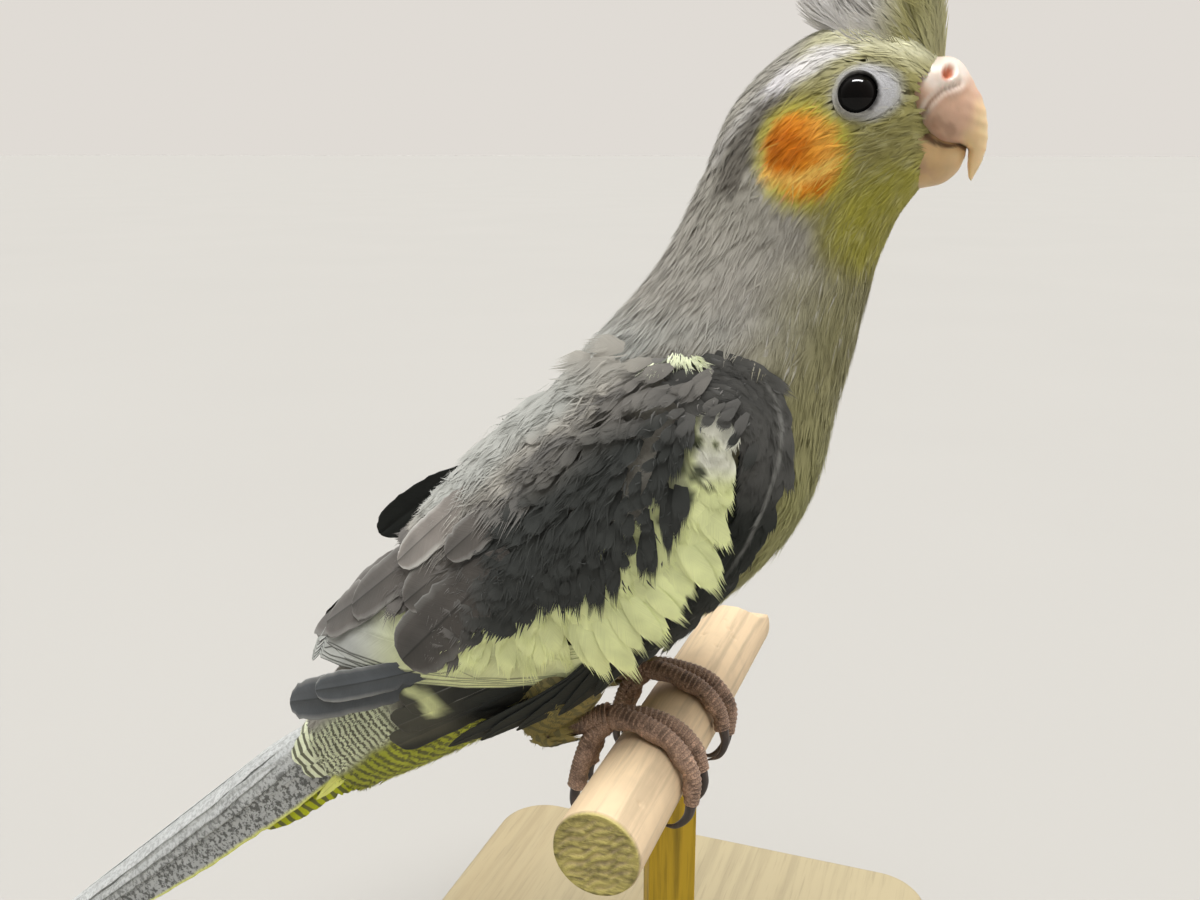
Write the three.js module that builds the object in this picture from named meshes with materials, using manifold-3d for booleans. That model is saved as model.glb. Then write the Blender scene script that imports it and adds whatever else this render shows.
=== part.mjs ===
// A cockatiel gripping a short dowel perch, on a plain display stand. Millimetres, +Z up.
// The bird's head points to +X, its right side to -Y, and the perch runs along Y.
// Places on the bird are given from the middle of the perch's axis.
import * as THREE from "three";
import { mergeVertices } from "three/addons/utils/BufferGeometryUtils.js";
import Module from "manifold-3d";

// Stand
const PERCH_HEIGHT = 104; // axis of the perch above the floor
const PERCH_DIAMETER = 16;
const PERCH_NEAR_Y = -39.8;
const PERCH_FAR_Y = 65.2;
const PERCH_SIDES = 32;
const NOTCH_DEPTH = 5; // saddle sawn across the top of the far end
const NOTCH_WIDTH = 11;
const POST_WIDTH = 10;
const POST_X = -2;
const POST_Y = 12.7;
const POST_TURN = THREE.MathUtils.degToRad(24);
const BASE_THICKNESS = 12;
const BASE_BACK_Y = 108;
const BASE_FRONT_Y = -60;
const BASE_LEFT_X = -81;
const BASE_RIGHT_X = 50;
const BASE_CORNER = 14;

// Gaps and meshes
const GAP = 0.3; // between pieces that touch
const CLEAR = 0.5; // the same where both faces are curved, and so faceted
const MERGE = 1e-4; // corners closer than this are one
const SLIVER = 0.02; // faces thinner than this are closed up
const BODY_SIDES = 26;
const BILL_SIDES = 14;
const TAIL_SIDES = 14;

// Head
const EYE_RADIUS = 3.6;
const EYE_X = 32.4;
const EYE_Z = 123.8;
const EYE_SUNK = 2.3; // eyeball's centre below the skin
const LID_RADIUS = 3.35;
const LID_THICKNESS = 0.62;
const NOSTRIL_X = 45.6;
const NOSTRIL_Z = 126.4;
const NOSTRIL_RADIUS = 0.85;
const CREST_FEATHERS = 17;
const CREST_LONGEST = 40;
const CREST_SHORTEST = 13;
const CREST_WIDTH = 4.2;
const CREST_ROLL = THREE.MathUtils.degToRad(38); // each rank's feathers turned to their own side
const CREST_BEND = 0.12; // how far a feather bows back, as a share of its length

// Feathers
const VANE_THICKNESS = 0.62;
const SHELL_RADIUS = 26; // how sharply the folded wings' feathers cup round the flank
const CORE_THICKNESS = 2.4; // flesh and lesser coverts under the wing's rows
const TAIL_ROOT = [-76, -2]; // on the tail's top edge
const TAIL_SLOPE = THREE.MathUtils.degToRad(41);
const TAIL_LENGTH = 136;
const TAIL_HALF_WIDTH = 7;
const TAIL_PAIRS = 6;
const TAIL_FEATHER_WIDTH = 8.2;
const TAIL_RISE = 22; // length over which a feather comes up from its root
const LAYER = 0.92; // step from one stacked tail feather to the next

// Feet
const TOE_RADIUS = 1.9;
const TOE_SIDES = 7;
const TOE_RING = PERCH_DIAMETER / 2 + GAP + TOE_RADIUS; // toes' centre line round the perch

const wasm = await Module();
wasm.setup();

const { lerp, smoothstep, degToRad } = THREE.MathUtils;
const vec = (x, y, z) => new THREE.Vector3(x, y, z);
const mix = (from, to, share) => from.map((value, i) => lerp(value, to[i], share));

// A closed geometry as a solid that can be joined and cut, with its faces out.
function toSolid(geometry) {
  const bare = geometry.clone();
  bare.deleteAttribute("normal");
  bare.deleteAttribute("uv");
  const merged = mergeVertices(bare, MERGE);
  const corners = new Uint32Array(merged.index.array);
  const mesh = { numProp: 3, vertProperties: merged.attributes.position.array, triVerts: corners };
  const made = new wasm.Manifold(new wasm.Mesh(mesh));
  if (made.volume() > 0) return made;
  for (let i = 0; i < corners.length; i += 3) {
    [corners[i + 1], corners[i + 2]] = [corners[i + 2], corners[i + 1]];
  }
  return new wasm.Manifold(new wasm.Mesh(mesh));
}

const join = (solids) => solids.reduce((whole, piece) => whole.add(piece));

// The largest closed surface of a solid, without loose scraps or the slivers that cuts leave.
function largest(solid) {
  const pieces = solid.simplify(SLIVER).decompose();
  return pieces.reduce((best, piece) => (piece.volume() > best.volume() ? piece : best));
}

// Points and triangles as a solid.
function facets(points, triangles) {
  const geometry = new THREE.BufferGeometry().setFromPoints(points);
  geometry.setIndex(triangles.flat());
  return toSolid(geometry);
}

// Rings of equal count joined in order, each end closed by a fan round its middle.
function skinOver(rings) {
  const count = rings[0].length;
  const points = rings.flat();
  const triangles = [];
  for (let r = 0; r + 1 < rings.length; r++) {
    for (let i = 0; i < count; i++) {
      const here = r * count + i;
      const next = r * count + ((i + 1) % count);
      triangles.push([here, next, next + count], [here, next + count, here + count]);
    }
  }
  for (const [ring, start, turned] of [
    [rings[0], 0, true],
    [rings.at(-1), points.length - count, false],
  ]) {
    const middle = ring.reduce((sum, p) => sum.clone().add(p), vec(0, 0, 0)).divideScalar(count);
    const hub = points.push(middle) - 1;
    for (let i = 0; i < count; i++) {
      const edge = [start + i, start + ((i + 1) % count)];
      triangles.push(turned ? [hub, edge[1], edge[0]] : [hub, edge[0], edge[1]]);
    }
  }
  return facets(points, triangles);
}

// A body form lofted through cross-sections, each with a back edge, a front edge and a half width.
// An angle of 0 is the back, half a turn the front, and a positive angle the right side.
class Loft {
  constructor(sections, sides) {
    this.sides = sides;
    const through = (points) => new THREE.CatmullRomCurve3(points, false, "catmullrom", 0.5);
    this.back = through(sections.map(([back]) => vec(back[0], 0, back[1])));
    this.front = through(sections.map(([, front]) => vec(front[0], 0, front[1])));
    this.half = through(sections.map(([, , half]) => vec(half, 0, 0)));
  }

  at(t, angle, grow = 0) {
    const back = this.back.getPoint(t);
    const front = this.front.getPoint(t);
    const middle = back.clone().add(front).multiplyScalar(0.5);
    const reach = back.clone().sub(middle);
    const depth = (reach.length() + grow) * Math.cos(angle);
    const place = middle.add(reach.setLength(depth));
    place.y = -(this.half.getPoint(t).x + grow) * Math.sin(angle);
    return place;
  }

  normal(t, angle) {
    const step = 0.004;
    const along = this.at(Math.min(t + step, 1), angle).sub(this.at(Math.max(t - step, 0), angle));
    const round = this.at(t, angle + step).sub(this.at(t, angle - step));
    return along.cross(round).normalize();
  }

  // The right side's station and angle of a place seen from the side.
  find(x, z) {
    const place = vec(x, 0, z);
    const past = (t) => {
      const back = this.back.getPoint(t);
      return this.front.getPoint(t).sub(back).cross(place.clone().sub(back)).y;
    };
    let low = 0;
    let high = 1;
    const lowSign = Math.sign(past(low));
    for (let i = 0; i < 24; i++) {
      const t = (low + high) / 2;
      if (Math.sign(past(t)) === lowSign) low = t;
      else high = t;
    }
    const back = this.back.getPoint(low);
    const across = this.front.getPoint(low).sub(back);
    const share = place.sub(back).dot(across) / across.lengthSq();
    return { t: low, angle: Math.acos(1 - 2 * THREE.MathUtils.clamp(share, 0, 1)) };
  }

  ring(t, grow = 0) {
    return Array.from({ length: this.sides }, (_, i) => this.at(t, (2 * Math.PI * i) / this.sides, grow));
  }

  solid(from, to, steps, grow = 0) {
    const rings = Array.from({ length: steps + 1 }, (_, i) => this.ring(lerp(from, to, i / steps), grow));
    return skinOver(rings);
  }
}

// The bird's body from the face to the root of the tail.
const body = new Loft([
  [[46.2, 126.5], [44.6, 112.5], 5.6],
  [[43.2, 130.6], [41.8, 108.8], 9.6],
  [[36.0, 134.2], [39.0, 104.6], 12.4],
  [[24.0, 134.0], [36.9, 99.6], 13.9],
  [[11.6, 123.8], [35.7, 95.5], 14.5],
  [[5.0, 109.2], [34.7, 89.8], 15.6],
  [[-2.4, 95.3], [31.4, 74.2], 18.8],
  [[-15.0, 81.0], [24.9, 48.9], 21.6],
  [[-34.0, 59.4], [4.7, 26.4], 23.4],
  [[-51.0, 39.4], [-21.2, 7.4], 21.2],
  [[-66.0, 17.6], [-46.6, -10.0], 15.4],
  [[-82.0, -5.5], [-68.5, -23.5], 8.6],
], BODY_SIDES);
const STATIONS = 11; // spans between the sections above
const HEAD_END = 4.15 / STATIONS;
const NECK_END = 6.1 / STATIONS;
const SEAM = 0.045 / STATIONS; // leaves the gap between neighbours
const CHIN = 0;
const VENT = 1;

// The face that the folded wings lie on, wider than the body past the hips.
const shell = new Loft([
  [[5.0, 109.2], [34.7, 89.8], 15.6],
  [[-2.4, 95.3], [31.4, 74.2], 18.8],
  [[-15.0, 81.0], [24.9, 48.9], 21.6],
  [[-34.0, 59.4], [4.7, 26.4], 23.4],
  [[-51.5, 40.4], [-21.2, 7.4], 21.6],
  [[-69.5, 20.5], [-46.6, -10.0], 17.2],
  [[-88.0, -1.0], [-70.0, -26.0], 12.4],
  [[-106.0, -17.0], [-90.0, -42.0], 9.0],
], BODY_SIDES);

// A feather's vane: a flat lens section that widens from its root and closes at its tip.
// Each station has a centre, a normal there and the places of its left and right edges.
function vane(stations, thickness = VANE_THICKNESS) {
  const points = [];
  const triangles = [];
  stations.slice(0, -1).forEach(({ centre, normal, left, right }, i, all) => {
    const rise = normal.clone().multiplyScalar(thickness / 2);
    points.push(left, centre.clone().add(rise), right, centre.clone().sub(rise));
    if (i + 1 === all.length) return;
    const ring = [0, 1, 2, 3].map((k) => 4 * i + k);
    for (const edge of [ring[0], ring[2]]) {
      for (const ridge of [ring[1], ring[3]]) {
        const first = [edge, ridge, ridge + 4];
        const second = [edge, ridge + 4, edge + 4];
        const straight = (edge === ring[0]) === (ridge === ring[1]);
        triangles.push(straight ? first : first.reverse(), straight ? second : second.reverse());
      }
    }
  });
  const tip = points.push(stations.at(-1).centre) - 1;
  const last = tip - 4;
  triangles.push([0, 2, 1], [0, 3, 2]);
  for (let k = 0; k < 4; k++) triangles.push([last + k, last + ((k + 1) % 4), tip]);
  return facets(points, triangles);
}

// A vane's station from its width and the way across it, with its edges bent down by the cup.
function flatStation(centre, normal, side, width, cup) {
  const bent = centre.clone().addScaledVector(normal, -cup);
  const edge = (way) => bent.clone().addScaledVector(side, (way * width) / 2);
  return { centre, normal, left: edge(-1), right: edge(1) };
}

// Shares of a vane's length at its stations, with its width there as a share of its widest.
const ROUND_TIP = [[0, 0.5], [0.38, 0.92], [0.78, 0.94], [0.95, 0.5], [1, 0]];
const SHARP_TIP = [[0, 0.5], [0.35, 0.95], [0.7, 0.85], [0.92, 0.36], [1, 0]];
const BROAD_TIP = [[0, 0.5], [0.35, 0.9], [0.84, 1], [0.965, 0.66], [1, 0]];
const SQUARE_TIP = [[0, 0.5], [0.35, 0.9], [0.85, 1], [0.97, 0.8], [1, 0]];

// One feather of the right wing, from its root to its tip as seen from the side.
// Its lift off the shell goes from the first to the second value, and lean raises its upper edge.
function wingFeather({ root, tip, width, lift, lean = 0.35, shape = ROUND_TIP, grow = 0 }) {
  const from = shell.find(...root);
  const to = shell.find(...tip);
  const place = (s) => {
    const t = lerp(from.t, to.t, s);
    const angle = lerp(from.angle, to.angle, s);
    return { centre: shell.at(t, angle, lerp(lift[0], lift[1], s)), normal: shell.normal(t, angle) };
  };
  return vane(
    shape.map(([s, share]) => {
      const { centre, normal } = place(s);
      if (normal.y > 0) normal.negate();
      const along = place(Math.min(s + 0.02, 1)).centre.sub(place(Math.max(s - 0.02, 0)).centre);
      const side = along.cross(normal).normalize();
      const leaning = (lean * share) / (width / 2);
      normal.addScaledVector(side, -leaning).normalize();
      side.addScaledVector(normal, leaning).normalize();
      const cup = (width * share) ** 2 / (8 * SHELL_RADIUS);
      return flatStation(centre, normal, side, width * share + 2 * grow, cup);
    }),
    VANE_THICKNESS + 2 * grow,
  );
}

// A row of feathers whose roots and tips run along curves through the given places.
function wingRow({ count, roots, tips, widths, lift, ...rest }) {
  const curve = (places) => new THREE.SplineCurve(places.map(([x, z]) => new THREE.Vector2(x, z)));
  const rootLine = curve(roots);
  const tipLine = curve(tips);
  return Array.from({ length: count }, (_, i) => {
    const share = i / (count - 1);
    const width = lerp(widths[0], widths[1], share);
    const [root, tip] = [rootLine, tipLine].map((line) => line.getPoint(share).toArray());
    return wingFeather({ root, tip, width, lift, ...rest });
  });
}

// The right wing's rows of feathers, from the lowest layer to the highest.
const WING_ROWS = [
  // dark outer primaries, whose clipped ends are square
  {
    count: 4,
    roots: [[15, 45], [0, 42]],
    tips: [[-36, 5], [-46, -1.5], [-55, -4.5]],
    widths: [6.5, 8],
    lift: [1.1, 1.2],
    shape: SQUARE_TIP,
  },
  // grey inner primaries, which end over the tail's root
  {
    count: 3,
    roots: [[-24, 32], [-34, 36]],
    tips: [[-79, -2], [-75, 3.5], [-68, 8.5]],
    widths: [9, 9],
    lift: [1.7, 2.6],
  },
  // secondaries, which show as the lower edge of the pale patch
  {
    count: 7,
    roots: [[16, 56], [6, 50], [-22, 50]],
    tips: [[-14, 19], [-36, 15], [-58, 19], [-68, 14]],
    widths: [7.5, 10],
    lift: [1.6, 2.6],
  },
  // greater coverts, dark over the pale patch
  {
    count: 9,
    roots: [[21, 76], [12, 66], [-16, 58]],
    tips: [[15, 54], [2, 44], [-18, 31], [-41, 24]],
    widths: [6.5, 9],
    lift: [1.9, 3.9],
  },
  // tertials, the broad brown feathers at the back of the wing
  {
    count: 4,
    roots: [[-20, 46], [-26, 62]],
    tips: [[-77, 13.5], [-76, 20], [-70, 27.5], [-60, 36]],
    widths: [14, 12],
    lift: [2.2, 4.0],
    lean: 0.6,
    shape: BROAD_TIP,
  },
  // median coverts
  {
    count: 6,
    roots: [[18, 81], [-6, 74]],
    tips: [[9, 62], [-6, 50], [-30, 37]],
    widths: [8, 10],
    lift: [1.9, 5.0],
  },
  // scapulars along the back
  {
    count: 6,
    roots: [[2, 84], [-8, 82], [-14, 80.5]],
    tips: [[-22, 50], [-43, 36], [-46, 42], [-53, 41]],
    widths: [9, 11],
    lift: [1.9, 5.6],
    lean: 0.6,
  },
];

// Outline, seen from the side, of the wing's flesh under its rows.
const WING_CORE = [
  [4, 85], [15, 84.5], [23.2, 80], [26, 72], [24, 59], [17, 44], [2, 31], [-20, 22], [-38, 30],
  [-42, 42], [-26, 62],
];

// A far tertial of the left wing, which has sprung up off the others.
const RAISED_FEATHER = { root: [-32, 54], tip: [-62, 34.5], width: 11, lift: [2.4, 8], shape: BROAD_TIP };

function wingSolid({ grow = 0, raised = [] }) {
  const outline = new THREE.Shape();
  const [first, ...others] = WING_CORE.map(([x, z]) => new THREE.Vector2(x, z));
  outline.moveTo(first.x, first.y);
  outline.splineThru([...others, first]);
  const depth = 60;
  const slab = new THREE.ExtrudeGeometry(outline, { depth, bevelEnabled: false, curveSegments: 3 });
  slab.rotateX(Math.PI / 2);
  slab.translate(0, -2, 0);
  const crust = shell.solid(0, 0.7, 11, CORE_THICKNESS + grow).intersect(toSolid(slab));
  const feathers = WING_ROWS.flatMap((row) => wingRow({ ...row, grow }));
  return join([crust, ...feathers, ...raised.map(wingFeather)]);
}

// Places on the closed tail: s along it, across from its middle line round its upside-down U,
// and deep in from its outer face.
const tailWay = vec(-Math.cos(TAIL_SLOPE), 0, -Math.sin(TAIL_SLOPE));
const tailUp = vec(-Math.sin(TAIL_SLOPE), 0, Math.cos(TAIL_SLOPE));
function tailPlace(along, across, deep) {
  const half = TAIL_HALF_WIDTH * lerp(1, 0.72, along / TAIL_LENGTH);
  const arc = (half * Math.PI) / 2;
  const turn = Math.min(Math.abs(across), arc) / half;
  const leg = Math.max(Math.abs(across) - arc, 0);
  const inner = Math.max(half - deep, 0.4);
  const place = vec(TAIL_ROOT[0], 0, TAIL_ROOT[1]).addScaledVector(tailWay, along);
  place.y = -Math.sign(across) * inner * Math.sin(turn);
  return place.addScaledVector(tailUp, inner * Math.cos(turn) - half - leg);
}

// One feather of the tail, lying on the U between two lengths, as deep as given at root and tip.
function tailFeather({ start, end, across, deep, width, thickness, shape = SHARP_TIP }) {
  return vane(
    shape.map(([s, share]) => {
      const along = lerp(start, end, s);
      const sunk = lerp(deep[0], deep[1], smoothstep(s, 0, TAIL_RISE / (end - start)));
      const spot = (k) => tailPlace(along, across + k * width * share, sunk);
      const normal = tailPlace(along, across, 0).sub(tailPlace(along, across, 1)).normalize();
      return { centre: spot(0), normal, left: spot(-0.5), right: spot(0.5) };
    }),
    thickness,
  );
}

// The tail: its fleshy root, twelve long feathers in a closed fan, and the coverts over and under it.
function tailSolid(grow = 0) {
  const thickness = VANE_THICKNESS + 2 * grow;
  const pieces = [tailCore.solid(0, 1, 6, grow)];
  for (let pair = 0; pair < TAIL_PAIRS; pair++) {
    for (const side of [1, -1]) {
      const lower = pair === 0 && side < 0 ? 1 : 0;
      const deep = LAYER * (pair + lower + (pair > 0 ? 1 : 0));
      pieces.push(
        tailFeather({
          start: 10,
          end: TAIL_LENGTH * (1 - 0.11 * pair),
          across: side * (2.4 + 3.1 * pair),
          deep: [deep + 1.5, deep],
          width: TAIL_FEATHER_WIDTH + 2 * grow,
          thickness,
        }),
      );
    }
  }
  for (const covert of TAIL_COVERTS) {
    for (const side of [1, -1]) {
      pieces.push(tailFeather({ ...covert, across: side * covert.across, thickness, shape: ROUND_TIP }));
    }
  }
  return join(pieces);
}

const tailCore = new Loft([
  [[-82.2, -5.9], [-68.8, -23.9], 8.4],
  [[-90, -15], [-78, -31], 7.4],
  [[-98, -23], [-88, -37], 4.2],
], TAIL_SIDES);
const TAIL_COVERTS = [
  { start: 9, end: 38, across: 3.5, deep: [1.4, -0.9], width: 8 },
  { start: 9, end: 45, across: 9.5, deep: [1.4, -0.9], width: 8 },
  { start: 9, end: 41, across: 15.5, deep: [1.4, -0.9], width: 8 },
  { start: 8, end: 39, across: 21, deep: [1.6, -0.9], width: 8 },
  { start: 6, end: 34, across: 26, deep: [2, -0.4], width: 8 },
];

// Beak: sections from the face to the tip.
const upperBill = new Loft([
  [[41.5, 129.6], [38.5, 119.6], 6.2],
  [[45.6, 129.3], [41.6, 118.2], 6.2],
  [[48.6, 127.0], [44.6, 116.9], 5.5],
  [[51.2, 122.6], [47.2, 116.7], 4.3],
  [[52.2, 117.6], [48.7, 115.6], 2.9],
  [[51.7, 114.0], [49.2, 113.5], 1.8],
  [[50.2, 110.6], [49.7, 111.2], 0.6],
], BILL_SIDES);
const lowerBill = new Loft([
  [[38.5, 120.0], [39.0, 108.8], 5.0],
  [[42.0, 119.2], [42.4, 109.6], 4.9],
  [[45.6, 117.9], [45.6, 110.4], 4.0],
  [[48.2, 116.4], [47.8, 112.6], 2.2],
], BILL_SIDES);

// Crest feathers in two ranks along the crown, upright in front and swept back behind.
function crestFeathers() {
  return Array.from({ length: CREST_FEATHERS }, (_, i) => {
    const share = i / (CREST_FEATHERS - 1);
    const rank = i % 2 ? 1 : -1;
    const root = body.at(lerp(0.75, 3.05, share) / STATIONS, rank * 0.16, -1.5);
    const rise = degToRad(lerp(91, 138, share));
    const length = lerp(CREST_LONGEST, CREST_SHORTEST, share ** 0.8);
    const way = vec(Math.cos(rise), -rank * 0.07, Math.sin(rise));
    const bend = vec(-Math.sin(rise), 0, Math.cos(rise)).multiplyScalar(CREST_BEND * length);
    const flat = Math.cos(CREST_ROLL);
    const roll = -rank * Math.sin(CREST_ROLL);
    const normal = vec(Math.sin(rise) * flat, roll, -Math.cos(rise) * flat);
    const side = normal.clone().cross(way).normalize();
    return vane(
      SHARP_TIP.map(([s, width]) => {
        const centre = root.clone().addScaledVector(way, s * length);
        centre.addScaledVector(bend, 3 * s * (1 - s));
        return flatStation(centre, normal, side, width * CREST_WIDTH, 0.3 * width);
      }),
    );
  });
}

const ball = (radius, place, detail = 2) =>
  toSolid(new THREE.IcosahedronGeometry(radius, detail).translate(place.x, place.y, place.z));

// A point on the right or left side of a form, with the way out of it.
function onSide(form, x, z, side, grow = 0) {
  const { t, angle } = form.find(x, z);
  const place = form.at(t, angle, grow);
  const out = form.normal(t, angle);
  if (out.y > 0) out.negate();
  place.y *= side;
  out.y *= side;
  return { place, out };
}

function eyeCentre(side) {
  const { place, out } = onSide(body, EYE_X, EYE_Z, side);
  return place.addScaledVector(out, -EYE_SUNK);
}

function headSolid() {
  const pieces = [body.solid(CHIN, HEAD_END - SEAM, 12), ...crestFeathers()];
  for (const side of [1, -1]) {
    const { place, out } = onSide(body, EYE_X, EYE_Z, side, 0.15);
    const lid = new THREE.TorusGeometry(LID_RADIUS, LID_THICKNESS, 5, 16);
    lid.applyQuaternion(new THREE.Quaternion().setFromUnitVectors(vec(0, 0, 1), out));
    lid.translate(place.x, place.y, place.z);
    pieces.push(toSolid(lid));
  }
  const sockets = [1, -1].map((side) => ball(EYE_RADIUS + GAP, eyeCentre(side)));
  const beak = join([upperBill.solid(0, 1, 12, GAP), lowerBill.solid(0, 1, 6, GAP)]);
  return largest(join(pieces).subtract(join(sockets)).subtract(beak));
}

function upperBillSolid() {
  const nostrils = [1, -1].map((side) => {
    const { place } = onSide(upperBill, NOSTRIL_X, NOSTRIL_Z, side);
    return ball(NOSTRIL_RADIUS, place, 1);
  });
  return largest(upperBill.solid(0, 1, 14).subtract(join(nostrils)));
}

// A tube through places with a radius at each, round or closed to a point.
function tube(places, radii, sides = TOE_SIDES, grow = 0) {
  const line = new THREE.CatmullRomCurve3(places.map((p) => vec(...p)));
  const steps = Math.max(2 * (places.length - 1), 4);
  const rings = Array.from({ length: steps + 1 }, (_, i) => {
    const share = i / steps;
    const spot = share * (radii.length - 1);
    const low = Math.min(Math.floor(spot), radii.length - 2);
    const radius = lerp(radii[low], radii[low + 1], spot - low) + grow;
    const centre = line.getPoint(share);
    const along = line.getTangent(share);
    const across = vec(0, 1, 0).addScaledVector(along, -along.y).normalize();
    const up = along.clone().cross(across);
    return Array.from({ length: sides }, (_, k) => {
      const turn = (2 * Math.PI * k) / sides;
      return centre
        .clone()
        .addScaledVector(across, radius * Math.cos(turn))
        .addScaledVector(up, radius * Math.sin(turn));
    });
  });
  return skinOver(rings);
}

// A place on the perch's round, from the front at 0 degrees over the top at 90.
const roundPerch = (degrees, y, radius = TOE_RING) => [
  radius * Math.cos(degToRad(degrees)),
  y,
  radius * Math.sin(degToRad(degrees)),
];

const ANKLE = [-20.5, -13.2, 6.2];
const FOOT_JOINT = [-7.2, -11.6, 10.8];

// Right foot's toes as runs of places, each followed by its claw's: two forward and two back.
const TOES = [
  {
    toe: [
      FOOT_JOINT,
      roundPerch(92, -12.6, 10.6),
      roundPerch(55, -13.8),
      roundPerch(18, -14.4),
      roundPerch(-16, -14.2),
    ],
    claw: [
      roundPerch(-18.5, -14.2),
      roundPerch(-33, -14.1, 10.9),
      roundPerch(-52, -13.9, 10.9),
      roundPerch(-68, -13.6, 9.6),
    ],
  },
  {
    toe: [
      FOOT_JOINT,
      roundPerch(94, -9.6, 10.6),
      roundPerch(62, -8.9),
      roundPerch(32, -8.6),
      roundPerch(6, -8.4),
    ],
    claw: [
      roundPerch(3.5, -8.4),
      roundPerch(-10, -8.3, 10.9),
      roundPerch(-28, -8.2, 10.9),
      roundPerch(-44, -8.1, 9.6),
    ],
  },
  {
    toe: [FOOT_JOINT, [-10.2, -13.2, 6.4], [-11.8, -14.4, 1.6], [-12.9, -14.9, -3.4]],
    claw: [[-13.0, -14.95, -3.8], [-13.4, -15.1, -6.6], [-12.6, -15.2, -9.2], [-10.8, -15.2, -11.2]],
  },
  {
    toe: [FOOT_JOINT, [-10.3, -9.8, 6.6], [-11.7, -8.8, 2.6], [-12.4, -8.4, -1.2]],
    claw: [[-12.5, -8.35, -1.6], [-12.8, -8.2, -4.2], [-12.0, -8.1, -6.6], [-10.3, -8.1, -8.4]],
  },
];
const TOE_RADII = [2.2, 2.0, TOE_RADIUS, 1.75, 1.5];
const CLAW_RADII = [1.05, 0.85, 0.5, 0.12];

const TARSUS_RADII = [2.5, 2.1, 2.6];
const TARSUS_SIDES = 9;
const THIGH_SIDES = 12;

function tarsus(grow = 0) {
  const places = [ANKLE, mix(ANKLE, FOOT_JOINT, 0.5), FOOT_JOINT];
  return tube(places, TARSUS_RADII, TARSUS_SIDES, grow);
}

// The perch's round with its gap, for cutting what rests on it.
function perchRoom() {
  const radius = PERCH_DIAMETER / 2 + GAP;
  return toSolid(new THREE.CylinderGeometry(radius, radius, 80, PERCH_SIDES));
}

function footSolid() {
  const toes = TOES.map(({ toe }) => tube(toe, TOE_RADII));
  return largest(join([tarsus(), ...toes]).subtract(perchRoom()));
}

// The feathered thigh, from inside the belly back and down to the ankle, with barred feathers below.
function legSolid() {
  const thigh = tube(
    [[-8, -12.5, 27], [-15, -13, 19], [-20, -13.2, 11], [-21.8, -13.3, 5.4]],
    [8.4, 8.2, 5.6, 3.4],
    THIGH_SIDES,
  );
  const fringe = [0, 1, 2, 3, 4].map((i) => {
    const spread = i - 2;
    const normal = vec(0.9, -0.25 * spread, -0.35).normalize();
    const side = vec(0.25 * spread, 0.95, 0).normalize();
    return vane(
      ROUND_TIP.map(([s, share]) => {
        const x = lerp(-17 - 0.4 * i, -23.5 - 0.9 * i, s);
        const centre = vec(x, -13 - 2.4 * spread, lerp(17, 1.5 + 1.6 * i, s));
        return flatStation(centre, normal, side, 6 * share, 0.2 * share);
      }),
    );
  });
  return join([thigh, ...fringe]).subtract(tarsus(GAP));
}

const mirrored = (solid) => solid.mirror([0, 1, 0]);

// A solid as a named mesh in its own colour.
function addNode(group, name, solid, color, roughness = 0.85) {
  const mesh = solid.getMesh();
  const geometry = new THREE.BufferGeometry();
  geometry.setAttribute("position", new THREE.BufferAttribute(new Float32Array(mesh.vertProperties), 3));
  geometry.setIndex(new THREE.BufferAttribute(new Uint32Array(mesh.triVerts), 1));
  geometry.computeVertexNormals();
  const made = new THREE.Mesh(geometry, new THREE.MeshStandardMaterial({ color, roughness }));
  made.name = name;
  group.add(made);
}

function perchSolid() {
  const length = PERCH_FAR_Y - PERCH_NEAR_Y;
  const radius = PERCH_DIAMETER / 2;
  const dowel = new THREE.CylinderGeometry(radius, radius, length, PERCH_SIDES);
  dowel.translate(0, (PERCH_FAR_Y + PERCH_NEAR_Y) / 2, 0);
  const notch = new THREE.CylinderGeometry(NOTCH_WIDTH, NOTCH_WIDTH, 3 * PERCH_DIAMETER, PERCH_SIDES);
  notch.rotateZ(Math.PI / 2);
  notch.translate(0, PERCH_FAR_Y, radius + NOTCH_WIDTH - NOTCH_DEPTH);
  return largest(toSolid(dowel).subtract(toSolid(notch)));
}

function postSolid() {
  const height = PERCH_HEIGHT - BASE_THICKNESS - GAP;
  const post = new THREE.BoxGeometry(POST_WIDTH, POST_WIDTH, height);
  post.rotateZ(POST_TURN);
  post.translate(POST_X, POST_Y, -height / 2);
  return largest(toSolid(post).subtract(perchRoom()));
}

function baseSolid() {
  const outline = new THREE.Shape();
  const r = BASE_CORNER;
  outline.moveTo(BASE_LEFT_X + r, BASE_FRONT_Y);
  outline.lineTo(BASE_RIGHT_X - r, BASE_FRONT_Y);
  outline.absarc(BASE_RIGHT_X - r, BASE_FRONT_Y + r, r, -Math.PI / 2, 0);
  outline.absarc(BASE_RIGHT_X - r, BASE_BACK_Y - r, r, 0, Math.PI / 2);
  outline.absarc(BASE_LEFT_X + r, BASE_BACK_Y - r, r, Math.PI / 2, Math.PI);
  outline.absarc(BASE_LEFT_X + r, BASE_FRONT_Y + r, r, Math.PI, 1.5 * Math.PI);
  const depth = BASE_THICKNESS;
  return toSolid(new THREE.ExtrudeGeometry(outline, { depth, bevelEnabled: false, curveSegments: 8 }));
}

const cockatiel = new THREE.Group();
const bird = new THREE.Group();
bird.position.z = PERCH_HEIGHT;
cockatiel.add(bird);

addNode(bird, "head", headSolid(), 0xa6a48c);
addNode(bird, "neck", body.solid(HEAD_END + SEAM, NECK_END - SEAM, 6), 0x8a8580);
addNode(bird, "torso", body.solid(NECK_END + SEAM, VENT, 12), 0x827c76);
addNode(bird, "upper_bill", upperBillSolid(), 0xe0a99c, 0.45);
const lowerBillSolid = lowerBill.solid(0, 1, 6).subtract(upperBill.solid(0, 1, 12, GAP));
addNode(bird, "lower_bill", largest(lowerBillSolid), 0xd49c8e, 0.45);

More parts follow.
